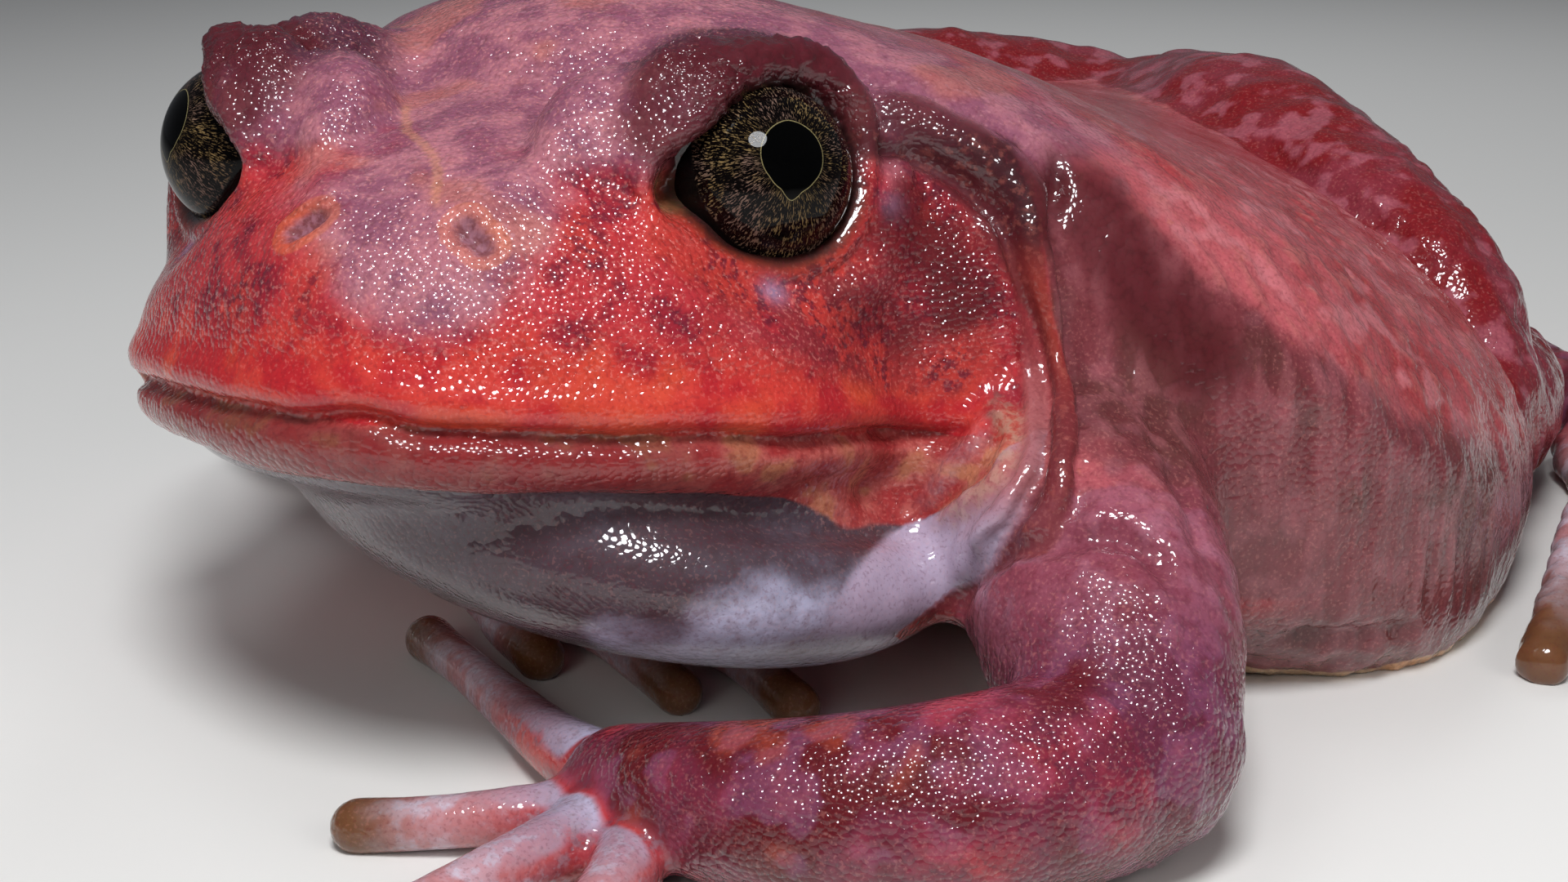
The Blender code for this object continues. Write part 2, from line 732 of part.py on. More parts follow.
def past_joint(rows, beyond=4.0, wider=1.4):
    """A bone's rows, run on past its joint and widened there."""
    bone = np.array(rows, float)
    step = bone[-1, :3] - bone[-2, :3]
    end = bone[-1, :3] + step / np.linalg.norm(step) * beyond
    last = (*bone[-1, :3], bone[-1, 3] + wider / 2)
    return (*(tuple(row) for row in bone[:-1]), last, (*end, bone[-1, 3] + wider))


def part_skin(skin):
    """Parts the whole skin into the head, the torso and the sections of the limbs."""
    pieces = {}
    for side, forearm, arm, shoulder in (
        ("left", LEFT_FOREARM, LEFT_ARM, SHOULDER_LEFT),
        ("right", RIGHT_FOREARM, RIGHT_ARM, SHOULDER_RIGHT),
    ):
        name = "forearm_" + side
        pieces[name] = part_off(skin, cell_pair(forearm[1:5]), name)
        name = "upper_arm_" + side
        pieces[name] = part_off(skin, cell_pair(past_joint((shoulder, *arm[2:]))), name)
    for side, turned in (("left", tuple), ("right", mirrored)):
        name = "shank_" + side
        pieces[name] = part_off(skin, cell_pair(turned(LEFT_SHANK)), name)
        name = "thigh_" + side
        pieces[name] = part_off(skin, cell_pair(past_joint(turned((THIGH_ROOT, *LEFT_THIGH[2:])))), name)
    pieces["head"] = part_off(skin, head_cell_pair(), "head")
    return pieces


def loose_ends(skin):
    """What is left of the skin: the torso, both hands and both feet."""
    work, found = bodies_of(skin)
    centres = []
    for group in found:
        corners = [vertex.co for face in group for vertex in face.verts]
        centres.append(sum(corners, Vector()) / len(corners) / MM)
    work.free()
    pieces = {}
    middles = {
        "hand_left": LEFT_FINGERS[1][0],
        "hand_right": RIGHT_FINGERS[1][0],
        "foot_left": LEFT_FOOT[2],
        "foot_right": mirrored(LEFT_FOOT)[2],
    }
    ranks = {"torso": 0}
    for name, middle in middles.items():
        spot = Vector(middle[:3])
        ranks[name] = min(range(1, len(centres)), key=lambda i: (centres[i] - spot).length)
    for name, rank in ranks.items():
        pieces[name] = copied(skin, name)
        keep_only(pieces[name], rank)
    bpy.data.objects.remove(skin)
    return pieces


def main():
    for thing in list(bpy.data.objects):
        bpy.data.objects.remove(thing)
    skin = build_skin()
    thin_out(skin)

    clay = bmesh.new()
    below = Matrix.Translation((0, 20, -10)) @ Matrix.Diagonal((200, 200, 20, 1))
    bmesh.ops.create_cube(clay, size=1.0, matrix=below)
    floor = clay_object("floor", clay)
    combine(skin, floor, "DIFFERENCE")
    bpy.data.objects.remove(floor)

    eyes = {}
    for side, name in ((1, "eye_left"), (-1, "eye_right")):
        clay = bmesh.new()
        add_ball(clay, eye_centre(side), (EYE_RADIUS + GAP,) * 3, detail=26)
        socket = clay_object("socket", clay)
        combine(skin, socket, "DIFFERENCE")
        bpy.data.objects.remove(socket)
        clay = bmesh.new()
        add_ball(clay, eye_centre(side), (EYE_RADIUS,) * 3, detail=24)
        eyes[name] = clay_object(name, clay)
    keep_only(skin, 0)

    pieces = part_skin(skin)
    pieces.update(loose_ends(skin))
    for name, thing in pieces.items():
        kind = name.replace("_left", "").replace("_right", "")
        finish(thing, name, SKINS[kind], SKIN_ROUGHNESS)
    for name, thing in eyes.items():
        finish(thing, name, EYE_COLOUR, EYE_ROUGHNESS)

    everything = {**pieces, **eyes}
    corners = np.concatenate([points_of(thing.data) for thing in everything.values()])
    low = corners.min(axis=0)
    high = corners.max(axis=0)
    shift = np.array([(low[0] + high[0]) / 2, (low[1] + high[1]) / 2, low[2]])
    for thing in everything.values():
        move_points(thing.data, points_of(thing.data) - shift)
    return everything, shift


if __name__ == "__main__":
    main()
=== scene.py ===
"""The looks of the tomato frog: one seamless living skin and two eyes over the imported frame."""

import math

import bmesh
import bpy
import numpy as np
from mathutils import Euler, Matrix, Vector
from mathutils.kdtree import KDTree


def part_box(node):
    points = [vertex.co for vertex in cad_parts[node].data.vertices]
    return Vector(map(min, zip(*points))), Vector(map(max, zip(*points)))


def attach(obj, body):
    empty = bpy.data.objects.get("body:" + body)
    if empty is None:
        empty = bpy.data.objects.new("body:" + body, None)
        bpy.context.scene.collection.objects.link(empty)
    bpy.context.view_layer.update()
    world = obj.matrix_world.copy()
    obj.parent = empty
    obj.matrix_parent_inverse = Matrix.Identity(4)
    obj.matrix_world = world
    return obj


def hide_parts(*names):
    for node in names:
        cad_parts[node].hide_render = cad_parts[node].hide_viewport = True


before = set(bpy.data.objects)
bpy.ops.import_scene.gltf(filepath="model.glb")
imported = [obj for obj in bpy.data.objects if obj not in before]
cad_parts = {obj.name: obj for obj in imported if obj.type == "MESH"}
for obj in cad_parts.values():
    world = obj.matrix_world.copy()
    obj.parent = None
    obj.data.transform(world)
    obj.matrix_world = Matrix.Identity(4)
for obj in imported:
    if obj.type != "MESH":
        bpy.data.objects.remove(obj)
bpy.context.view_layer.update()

MM = 0.001

# ---------------------------------------------------------------- sizes, in millimetres

LIP_NOTCH = (6, -21, 16.5)
HEAD_TURN = 16.0
HEAD_LIFT = 9.0
EYE_RADIUS = 3.55
EYE_CENTRE = (10.75, 11.4, 8.5)

BOTH = (1, -1)
RING_ANGLES = np.linspace(0, 2 * math.pi, 108, endpoint=False)
CORE_VOXEL = 0.8
SKIN_VOXEL = 0.22
# Pulls towards the neighbours' mean: the first pair keeps the form's size, the other fills it in.
EVEN_OUT = (0.5, -0.52)
FILL_IN = (0.6,)

HEAD_ROWS = (
    (0, 1.2, 2.6, 2, 2.4), (0.5, 3.2, 4.4, 2.8, 2.4), (1.4, 5.4, 5.9, 3.2, 2.4),
    (3, 8.2, 7.4, 3.5, 2.3), (5, 11, 8.7, 3.8, 2.1), (7.5, 13.6, 9.9, 4, 1.95),
    (10.5, 15.2, 11, 4.3, 1.85), (15, 16.4, 12.2, 4.9, 1.9), (20, 17.3, 13, 5.6, 2.1),
    (26, 17.8, 13.2, 6.5, 2.2), (32, 17, 12, 7, 2.2),
)
JAW_ROUND = 3.2
THROAT_CENTRE = (4.5, 14.4, -5.4)
THROAT_SIZE = (13.9, 11, 4.9)
THROAT_ROLL = 9.8
ORBIT_CENTRE = (8.8, 14, 9.1)
ORBIT_SIZE = (4.8, 5.6, 4.8)
DISH_TURN = 44.0
DISH_RISE = 14.0
DISH_DEPTH = 1.0
DISH_SLOPE = 0.45
DISH_REACH = 6.4
UPPER_LID = (
    (5.5, -0.6, 1.7, 0.4), (4.7, 0.7, 1.9, 0.6), (3.6, 1.9, 2, 0.75), (2.6, 3, 1.9, 0.85),
    (1.3, 3.8, 1.6, 0.9), (-0.2, 4.2, 1.3, 0.9), (-1.7, 4.2, 1.2, 0.85), (-3, 3.5, 1.2, 0.75),
    (-3.8, 2.4, 1.2, 0.65), (-4, 1, 1.2, 0.6), (-3.9, 0, 1.2, 0.55),
)
LOWER_LID = (
    (5.5, -0.6, 1.7, 0.4), (4.8, -2, 1.5, 0.45), (3.7, -3, 1.35, 0.5), (2.4, -3.5, 1.2, 0.5),
    (0.8, -3.8, 1.1, 0.55), (-1, -3.65, 1.1, 0.55), (-2.7, -2.8, 1.2, 0.55),
    (-3.6, -1.4, 1.3, 0.55), (-3.9, 0, 1.3, 0.5),
)
BROW = (
    (5, 1.5, 0.6, 0.95), (4.2, 2.6, 0.6, 1.4), (2.8, 3.5, 0.4, 1.5), (0.8, 3.9, 0.2, 1.25),
    (-1.4, 4, 0.1, 1.05), (-3.2, 3.5, 0, 0.9), (-4.2, 2.5, 0, 0.7),
)
# How far out from the middle three lines of the neck lie, by height in the head's frame: the
# cheek's edge, the crease inside the wide fold, and the crease outside it.
CHEEK_REACH = (
    (-7.5, 15), (-4.8, 16.3), (-4.2, 18), (-3.4, 19), (-2.2, 20.3), (-1.2, 21), (-0.3, 21),
    (1, 20.5), (2.8, 20.4), (4.5, 20), (6.1, 19.1), (7.6, 17.9), (8.9, 16.1), (9.8, 13.5), (11, 9),
)
INNER_REACH = (
    (-8.5, 17), (-7.5, 18.1), (-6.3, 19.4), (-4.5, 20.7), (-3, 21.7), (-1.7, 22.1), (-0.2, 21.9),
    (1.7, 21.3), (3.4, 20.7), (5, 19.8), (6.8, 18.8), (8.3, 17.6), (9.3, 15.5), (9.9, 13.5),
    (11, 9),
)
OUTER_REACH = (
    (-7.1, 18.9), (-5.9, 20), (-4.8, 21.5), (-4.1, 22.6), (-3.3, 23.3), (-2.2, 23.6), (-0.8, 23.6),
    (0.9, 22.8), (2.4, 22), (3.8, 21.5), (5.8, 21.1), (7.7, 20.6), (8.9, 20), (10, 19.2),
    (11.5, 16), (13, 9),
)
# What fills the form behind, below and before each eye, so that the lids run into the head.
ORBIT_REAR = (
    (-5.6, 1.6, -0.9, 1.5), (-5.3, 0.4, -0.1, 1.5), (-5, -1.6, 0.1, 1.6), (-4.3, -3.3, 0.1, 1.5),
    (-2.7, -4.8, 0.2, 1.4), (-0.6, -5.4, 0.5, 1.3),
)
ORBIT_FRONT = (
    (4, 2.8, -1.6, 1.8), (5.6, 2.4, -1.7, 1.9), (6.4, 1.5, -1.5, 1.9), (7, 0.4, -1.2, 1.7),
)
CORNER_FILL = (5.2, 0.4, 0.1)
CORNER_FILL_SIZE = 1.5
CORNER_DEPTH = 1.15
LID_OVERLAP = 0.1
LID_CORE = (8.2, 11.6, 9.4)
LID_CORE_SIZE = 3.2
# The two rolls of skin at the neck: radius, and how high they stand.
WIDE_ROLL = (1.15, 0.85)
NARROW_ROLL = (0.62, 0.5)
ROLL_SINK = 0.4
RIGHT_LID_DROOP = 0.5
TRUNK_ROWS = (
    (-9, 10.5, 25.2, 7, 13, 0.5, 2.2), (-6, 14.4, 27.8, 5.6, 12.2, 0.6, 2.2),
    (0, 20.8, 29.2, 5, 11, 1.2, 2.2), (8, 28.2, 27.6, 0.4, 8, 2.6, 2.1),
    (16, 32.2, 25, -4, 5, 2.2, 2.05), (26, 33.2, 22.7, -4, 4.8, 1.2, 1.88),
    (37, 30.6, 20.4, -4, 6, 0.3, 1.75), (46, 24, 18.8, -2.6, 8.6, 0, 1.75),
    (54, 15.6, 17.3, 0.8, 9.4, 0, 1.9), (60, 9, 15, 3.2, 9.9, 0, 2), (64, 3, 12, 7, 9.8, 0, 2),
)
BELLY_ROUND = 3.6
TUCK = 6.0
TUCK_WIDTH = 16.0
TUCK_FRONT = 6.0
TUCK_BACK = 17.0
LEFT_ARM = ((16, 7, 10.6, 6.4), (22.5, 1.6, 9.6, 5.7), (27, -3.6, 7, 5), (29.6, -7, 4.5, 4.2))
LEFT_FOREARM = (
    (29.6, -7.2, 4.2, 4), (28.4, -10.2, 4, 3.8), (25.4, -13.6, 3.7, 3.6), (21.7, -15.6, 3.3, 3.3),
    (17, -16.3, 2.7, 2.8), (13.2, -15.7, 1.9, 2.4),
)
RIGHT_ARM = ((-14, 6, 11, 6), (-20, 6.4, 9.8, 5.5), (-25.4, 8.2, 7, 4.8), (-28.6, 10.4, 4.4, 4.1))
RIGHT_FOREARM = (
    (-28.8, 10.4, 4.1, 3.9), (-24.8, 8.6, 3.7, 3.6), (-19, 6.2, 3.3, 3.2), (-13.6, 4.1, 2.8, 2.8),
    (-10.4, 2.7, 2.3, 2.4), (-7.6, 1.4, 1.8, 2.1),
)
LEFT_FINGERS = (
    (
        (12.6, -14.8, 1.5, 1.7), (9, -13.8, 1.5, 1.35), (4.6, -11.6, 1.3, 1.1),
        (-0.6, -8.9, 1.1, 0.95), (-4, -7.1, 0.8, 1.05),
    ),
    ((13.4, -16.4, 1.4, 1.7), (11, -18.6, 1.4, 1.15), (8, -20.6, 1.1, 1), (5.6, -21.8, 0.8, 1.05)),
    ((14.2, -17, 1.4, 1.7), (13.2, -22, 1.5, 1.2), (12, -26.4, 1.2, 1), (11, -29.4, 0.8, 1.1)),
    (
        (15.4, -17.2, 1.4, 1.6), (17, -21.6, 1.4, 1.15), (17.6, -25.4, 1.1, 1),
        (17.6, -27.6, 0.8, 1.05),
    ),
)
RIGHT_FINGERS = (
    ((-7, 1.8, 1.4, 1.7), (-2, 3.4, 1.2, 1.15), (2.6, 3.4, 1, 1), (5.4, 2.6, 0.8, 1.05)),
    ((-6.6, 0.9, 1.3, 1.7), (0.6, 0.6, 1.3, 1.15), (8.2, -1.4, 1, 1), (13.4, -4.2, 0.8, 1.05)),
    ((-6.6, 0.2, 1.3, 1.7), (-0.4, -1.8, 1.3, 1.15), (4.8, -3.8, 1, 1), (8.6, -5.7, 0.8, 1.05)),
    ((-7.2, -0.2, 1.3, 1.6), (-4, -2.8, 1.3, 1.15), (-1, -4.8, 1, 1), (1.4, -6, 0.8, 1.05)),
)
LEFT_THIGH = (
    (3, 54.6, 13.6, 6.2), (11.4, 46.6, 14.7, 6.4), (18.8, 40.7, 13, 6.2), (25, 36, 10, 5.7),
    (28.4, 32.9, 6.5, 4.8),
)
LEFT_SHANK = (
    (28.6, 33.6, 5.3, 4.5), (27.4, 42.6, 4.8, 4.3), (23, 50.6, 4.1, 3.7), (18, 57.4, 3.2, 2.8),
)
LEFT_FOOT = (
    (17.8, 59.2, 2.7, 2.6), (23, 59.6, 2.2, 2.3), (28.6, 55, 1.9, 2.2), (33.2, 48.2, 1.6, 2.3),
)
LEFT_TOES = (
    ((31.8, 47, 1.3, 1.5), (32.6, 44, 1.2, 1.05), (33.8, 41.8, 0.8, 1.05)),
    ((32.8, 46.6, 1.3, 1.5), (34.6, 42, 1.4, 1.05), (36.2, 38.4, 0.8, 1.05)),
    ((34, 47, 1.3, 1.6), (37.8, 38.8, 1.8, 1.1), (39.4, 32, 1.5, 1.05), (40.6, 28.4, 0.8, 1.1)),
    ((33.4, 46.6, 1.6, 1.6), (35.4, 37, 3.4, 1.2), (36.9, 26, 2.5, 1.1), (38, 17.4, 0.8, 1.1)),
    ((35, 48.6, 1.3, 1.6), (41, 43.4, 1.5, 1.05), (44.6, 36.6, 1.2, 1), (45.8, 32.6, 0.8, 1.05)),
)

# ---------------------------------------------------------------- lines on the skin

# In the head's frame: x to the frog's left, y back from the notch of the lips, z up.
MOUTH = (
    (0, 0, 0.1), (1.4, 0, -0.3), (3.6, 0.6, -0.4), (7.1, 2.4, -0.5), (12, 5.9, -0.6),
    (15.6, 11, -1), (18.2, 14.4, -1.1), (19.2, 14.8, -0.4),
)
JAW_EDGE = (
    (0, 0.8, -3.2), (4.8, 2.4, -3.4), (8, 4, -3.2), (11, 6.2, -3.4), (13.4, 9, -4.2),
    (15.4, 12.4, -5.4), (17, 14.6, -5.6),
)
# The lower edge of the lower lip: how far out from the middle, and its height.
JAW_MARGIN = (
    (0, -2.7), (4.8, -2.9), (7, -2.7), (10.7, -2.5), (13, -2.9), (15.2, -4.1), (16.7, -4.5),
    (18.2, -3.8), (20, -2.2), (21.2, -0.6), (22, 0.6),
)
NOSTRIL = ((2.8, 2.4, 6.5), (3.2, 2.4, 6.15), (3.7, 2.3, 5.85))
CORNER_BAND = (
    (19.5, 14.5, 0), (19.2, 14.2, -1.3), (18.4, 14.2, -2.2), (17.7, 14.3, -3.3), (17, 14, -4.2),
)
CORNER_LUMPS = (
    (18.9, 14.8, 0.8), (20.1, 14.4, -0.2), (20.6, 13, -1.1), (20.3, 12.4, -2.3), (19, 13.2, -3.7),
    (17.3, 13.8, -4.9),
)
CHEEK_EDGE = (
    (16.1, 15.7, 8.9), (17.9, 16.1, 7.6), (19.1, 16.2, 6.1), (20, 15.8, 4.5), (20.4, 15.7, 2.8),
    (20.4, 15.6, 1.4),
)
BAND_ROLL = (
    (17, 16, 8.4), (18.5, 16.2, 7), (19.5, 16, 5.3), (20.5, 15.6, 3.2), (21, 15.3, 1.3),
    (21.6, 12.9, -0.2), (21.5, 11.4, -1.6), (20.9, 10.9, -2.9), (20, 11.2, -4.3),
    (18.5, 12.4, -6.2),
)
INNER_GROOVE = (
    (13.5, 12.9, 9.9), (15.5, 15.3, 9.3), (17.6, 16.1, 8.3), (18.8, 16.2, 6.8), (19.8, 15.9, 5),
    (20.7, 15.5, 3.4), (21.3, 15.3, 1.7), (21.8, 13.4, 0.1), (22, 11.8, -0.9), (21.8, 10.8, -2.4),
    (21.1, 10.7, -4.1), (20.4, 11.4, -5.3),
)
FOLD_RIDGE = (
    (12.4, 14.3, 12), (14.3, 15.4, 11.3), (16.6, 15.7, 10.8), (18.2, 16.1, 10.1), (20, 16.4, 8.5),
    (20.9, 16, 5.7), (21.8, 15.7, 2.6), (22.6, 13.5, 0.4), (22.9, 11.2, -1.4), (22.6, 10.4, -2.8),
    (21.9, 10.6, -4.1),
)
OUTER_GROOVE = (
    (20, 19.2, 10), (20.7, 18.4, 8.9), (21.4, 16.9, 7.7), (21.9, 16.3, 5.8), (22.3, 16.1, 3.8),
    (22.8, 15.7, 2.3), (23.3, 14.2, 0.9), (23.7, 12.2, -0.8), (23.7, 11, -2.2), (23.4, 10.3, -3.4),
    (22.7, 10.3, -4.4),
)
SNOUT_RIDGE = ((2.5, 2.6, 6.8), (3.9, 5, 8.2), (5.1, 8.2, 9.4))
MID_LINE = (
    (-3.4, 10.6, 10.6), (-1.5, 6.9, 9.5), (0.3, 5.2, 8.8), (1.1, 4.1, 8.1), (1.4, 3, 7.3),
    (2.5, 2.5, 6.7),
)
# In the body's frame.
SHOULDER_CREASE = (
    (21, -4.5, 6.4), (22.6, -5.8, 9.5), (25.5, -6.2, 11.1), (28.8, -5, 11.3), (30.3, -5.5, 10.1),
)
SIDE_RIDGE = (
    (14.2, -4, 27.8), (15.4, 2, 25.6), (20.5, 4.2, 22.8), (25.3, 5.7, 18.8), (29.6, 8.5, 14.4),
    (33.2, 14.2, 10), (34.6, 21, 6.9),
)
LEG_GROOVE = ((14.5, 38.5, 18), (21.7, 34, 16), (26, 33, 13.4), (29.7, 31, 10.6), (31.8, 29.6, 7))
FLANK_FOLD = ((25.7, 1.5, 14.2), (28.6, -1.1, 12.2), (30.7, -3.4, 10.1))
BELLY_CREASE = ((29.4, 7.6, 2.6), (31.4, 9.8, 2.7), (33.4, 14, 2.6))

# ---------------------------------------------------------------- places of colour

# In an eye's frame: forward, upward and outward from its middle.
EYE_CORNER = (4.3, -0.8, 0.6)
LID_SPOTS = ((0.6, -4.7, 1.4), (-4.7, -1.2, 1))
# By distance back from the lips: how high the orange lip reaches, and where the crown begins.
LIP_TAPER = ((0, 1), (7, 0.85), (12, 0.5), (15, 0.4))
CANTHUS = ((0, 5), (2.5, 6.9), (5, 8.2), (8.2, 8.9), (14, 9))
# The height of the flank's upper edge, by distance back in the body's frame.
CREST = (
    (-4, 27), (2, 25.6), (4.2, 22.8), (5.7, 19.5), (8.5, 16), (14.2, 12), (21, 9), (30, 7),
)
# Dark patches in the head's frame, partly the skin's own dark colour and partly painted shade round
# the lids and along the folds: route, strength, width and fade.
DARK_SKIN_AND_SHADE = (
    (((9.9, 7.9, 9.6), (8.4, 6.9, 10.4), (8.2, 7.6, 11.7), (9.6, 8.6, 12.9), (12.5, 10.5, 13.2)),
     1, 1.8, 0.1),
    (((13.2, 14.5, 11.9), (16.6, 15.7, 10.6), (18.6, 16.2, 9.6), (20.2, 16.4, 8), (20.9, 16, 5.2)),
     0.95, 1.35, 0.15),
    (((19.6, 19.4, 10.6), (21.6, 19, 8.5), (23.1, 18.7, 6.3), (24.5, 18.4, 4.5), (26.6, 18.9, 2.4),
      (29.4, 20.2, 0.6)), 0.9, 2.1, 0.2),
    (((14.6, 13.2, 8.2), (16.6, 14.6, 6.2), (18, 14.8, 4.2), (18.7, 15, 2.4)), 0.92, 2.1, 0.15),
    (((12.8, 10, 3.4), (14.6, 11.4, 3.3), (16.4, 13, 3.2), (17.8, 14.2, 3)), 0.6, 1.5, 0.25),
)

# ---------------------------------------------------------------- eyes, stage and camera

PUPIL_TURN = 37.5
PUPIL_RISE = 13.5
# How far the pupil's and the iris's edges lie from the pupil's middle, in degrees, from the
# nose's side upwards and round.
PUPIL_EDGE = (
    (0, 18.5), (40, 21), (90, 25.5), (140, 23.5), (180, 21), (220, 19), (250, 19.5), (270, 24.5),
    (290, 18.5), (325, 17),
)
IRIS_EDGE = ((0, 62), (40, 70), (90, 74), (180, 74), (250, 72), (290, 65), (322, 60.5))
# What the eyeball's mask says at those two edges, and the rings that the ball is made of.
PUPIL_MARK = 1 / 3
IRIS_MARK = 0.95
RING_MARKS = ((0.06, 0.29, 6), (0.31, 0.36, 11), (0.38, 0.92, 24), (0.93, 0.97, 5))
IRIS_STREAKS = 84.0

FLOOR_REACH = 1500.0
FLOOR_COLOUR = (226, 224, 220)
WORLD_COLOUR = (0.86, 0.9, 1.0, 1.0)
WORLD_STRENGTH = 0.1
# Name, place, target, size, power and colour.
LIGHTS = (
    ("key", (56, -76, 150), (10, -8, 12), 54, 0.25, (0.95, 0.97, 1.0)),
    ("front", (40, -190, 110), (8, -8, 14), 110, 0.085, (1.0, 0.98, 0.96)),
    ("top", (-60, 0, 230), (8, 0, 10), 90, 0.06, (0.9, 0.95, 1.0)),
    ("fill", (220, -40, 150), (16, 8, 12), 120, 0.1, (1.0, 0.98, 0.96)),
    ("back", (-60, 190, 200), (0, 20, 12), 120, 0.15, (0.94, 0.97, 1.0)),
)
# The camera in the head's frame: turn, rise and roll; right, up and back from the lips.
CAMERA_ANGLES = (16.4, 9.3, 2.6)
CAMERA_PLACE = (14.9, -0.9, 77.9)
CAMERA_LENS = 51.36


# ---------------------------------------------------------------- small helpers


def step(low, high, value):
    """Eases from 0 to 1 as the value goes from low to high."""
    t = np.clip((value - low) / (high - low), 0.0, 1.0)
    return t * t * (3 - 2 * t)


def fall(low, high, value):
    return 1 - step(low, high, value)


def read_off(table, at):
    """The table's second numbers at the given first ones, on straight lines between its rows."""
    return np.interp(at, *np.array(table).T)


def through(rows, count):
    """The given rows of numbers as a smooth run of that many rows."""
    rows = np.array(rows, float)
    length = np.linalg.norm(np.diff(rows[:, :3], axis=0), axis=1)
    at = np.concatenate([[0.0], np.cumsum(length)])
    slope = np.gradient(rows, at, axis=0)
    t = np.linspace(0.0, at[-1], count)
    k = np.clip(np.searchsorted(at, t, side="right") - 1, 0, len(length) - 1)
    h = length[k][:, None]
    s = (t - at[k])[:, None] / h
    return (
        (1 + 2 * s) * (1 - s) ** 2 * rows[k]
        + s * (1 - s) ** 2 * h * slope[k]
        + s * s * (3 - 2 * s) * rows[k + 1]
        + s * s * (s - 1) * h * slope[k + 1]
    )


def ease(run):
    """Evens out a run of points and keeps its ends."""
    for _ in range(8):
        run[1:-1] = (run[:-2] + 2 * run[1:-1] + run[2:]) / 4
    return run


def mirrored(rows):
    return tuple((-x, *rest) for x, *rest in rows)


def both(*limbs):
    """The limbs of the left side, and then those of the right."""
    return limbs + tuple(mirrored(rows) for rows in limbs)


def digits():
    return LEFT_FINGERS + RIGHT_FINGERS + both(*LEFT_TOES)


def full_width(route):
    return mirrored(route[1:])[::-1] + route


def head_axes():
    turn = math.radians(HEAD_TURN)
    lift = math.radians(HEAD_LIFT)
    left = Vector((math.cos(turn), math.sin(turn), 0.0))
    flat = math.cos(lift)
    back = Vector((-math.sin(turn) * flat, math.cos(turn) * flat, -math.sin(lift)))
    return left, back, left.cross(back)


def on_head(x, y, z):
    left, back, up = head_axes()
    return Vector(LIP_NOTCH) + left * x + back * y + up * z


def in_head(points):
    """The points in the head's frame."""
    arm = points - np.array(LIP_NOTCH)
    return np.stack([arm @ np.array(axis) for axis in head_axes()], axis=1)


def placed(route, rise=0.0, side=1):
    return [tuple(on_head(side * x, y, z + rise)) for x, y, z in route]


def pair(route):
    return placed(route), placed(route, side=-1)


def bearing(turn, rise, side=1):
    turn = math.radians(turn)
    rise = math.radians(rise)
    flat = math.cos(rise)
    ahead = on_head(side * math.sin(turn) * flat, -math.cos(turn) * flat, math.sin(rise))
    return ahead - on_head(0, 0, 0)


def eye_centre(side):
    x, y, z = EYE_CENTRE
    return on_head(side * x, y, z)


def eye_axes(side):
    """The directions from an eye to its front, up, and out of its dish."""
    out = bearing(DISH_TURN, DISH_RISE, side)
    front = bearing(DISH_TURN - 90.0, 0.0, side)
    return front, front.cross(out) * side, out


def at_eye(side, forward, upward, outward):
    front, rise, out = eye_axes(side)
    return eye_centre(side) + front * forward + rise * upward + out * outward


def from_eye(points, side):
    """How far each point lies from an eye: forward, up, outward, off the outward line, in all."""
    arm = points - np.array(eye_centre(side))
    front, rise, out = (np.array(axis) for axis in eye_axes(side))
    height = arm @ out
    reach = np.linalg.norm(arm - height[:, None] * out, axis=1)
    return arm @ front, arm @ rise, height, reach, np.linalg.norm(arm, axis=1)


def neck_lines(head):
    """How far each point lies outside the cheek's edge and both creases, and the neck's mask."""
    side, back, up = np.abs(head[:, 0]), head[:, 1], head[:, 2]
    lines = [side - read_off(table, up) for table in (CHEEK_REACH, INNER_REACH, OUTER_REACH)]
    return (*lines, step(7.5, 9.0, back) * fall(22, 26, back) * step(-8.5, -7.5, up))


# ---------------------------------------------------------------- the skin's rough form


def add_rings(clay, rings):
    loops = [[clay.verts.new(point) for point in ring] for ring in rings]
    for a, b in zip(loops, loops[1:]):
        for i in range(len(a)):
            clay.faces.new((a[i - 1], a[i], b[i], b[i - 1]))
    clay.faces.new(loops[0])
    clay.faces.new(loops[-1][::-1])


def add_limb(clay, rows, count=36, sides=28):
    """A round, tapering length through rows of x, y, z and radius, with rounded ends."""
    run = through(rows, count)
    centres = [Vector(row[:3]) for row in run]
    dome = np.radians([0, 20, 40, 60, 80])
    ends = {0: -dome[::-1], count - 1: dome}
    rings = []
    for i, (centre, size) in enumerate(zip(centres, run[:, 3])):
        along = (centres[min(i + 1, count - 1)] - centres[max(i - 1, 0)]).normalized()
        across = along.cross(Vector((0.0, 0.0, 1.0))).normalized()
        over = across.cross(along)
        for slant in ends.get(i, (0.0,)):
            middle = centre + along * size * math.sin(slant)
            wide = math.cos(slant)
            rings.append(
                [
                    middle + (across * math.cos(a) + over * math.sin(a)) * size * wide
                    for a in np.linspace(0, 2 * math.pi, sides, endpoint=False)
                ]
            )
    add_rings(clay, rings)


def add_ball(clay, centre, radii, turn=(0.0, 0.0, 0.0), detail=48):
    spin = Euler([math.radians(a) for a in turn]).to_matrix().to_4x4()
    matrix = Matrix.Translation(centre) @ spin @ Matrix.Diagonal((*radii, 1.0))
    rings = detail // 2
    bmesh.ops.create_uvsphere(clay, u_segments=detail, v_segments=rings, radius=1.0, matrix=matrix)


def squarish(angle, half, top, low, upper_round, lower_round):
    c = math.cos(angle)
    s = math.sin(angle)
    power = 2 / (upper_round if s > 0 else lower_round)
    x = half * math.copysign(abs(c) ** power, c)
    return x, (top if s > 0 else low) * math.copysign(abs(s) ** power, s)


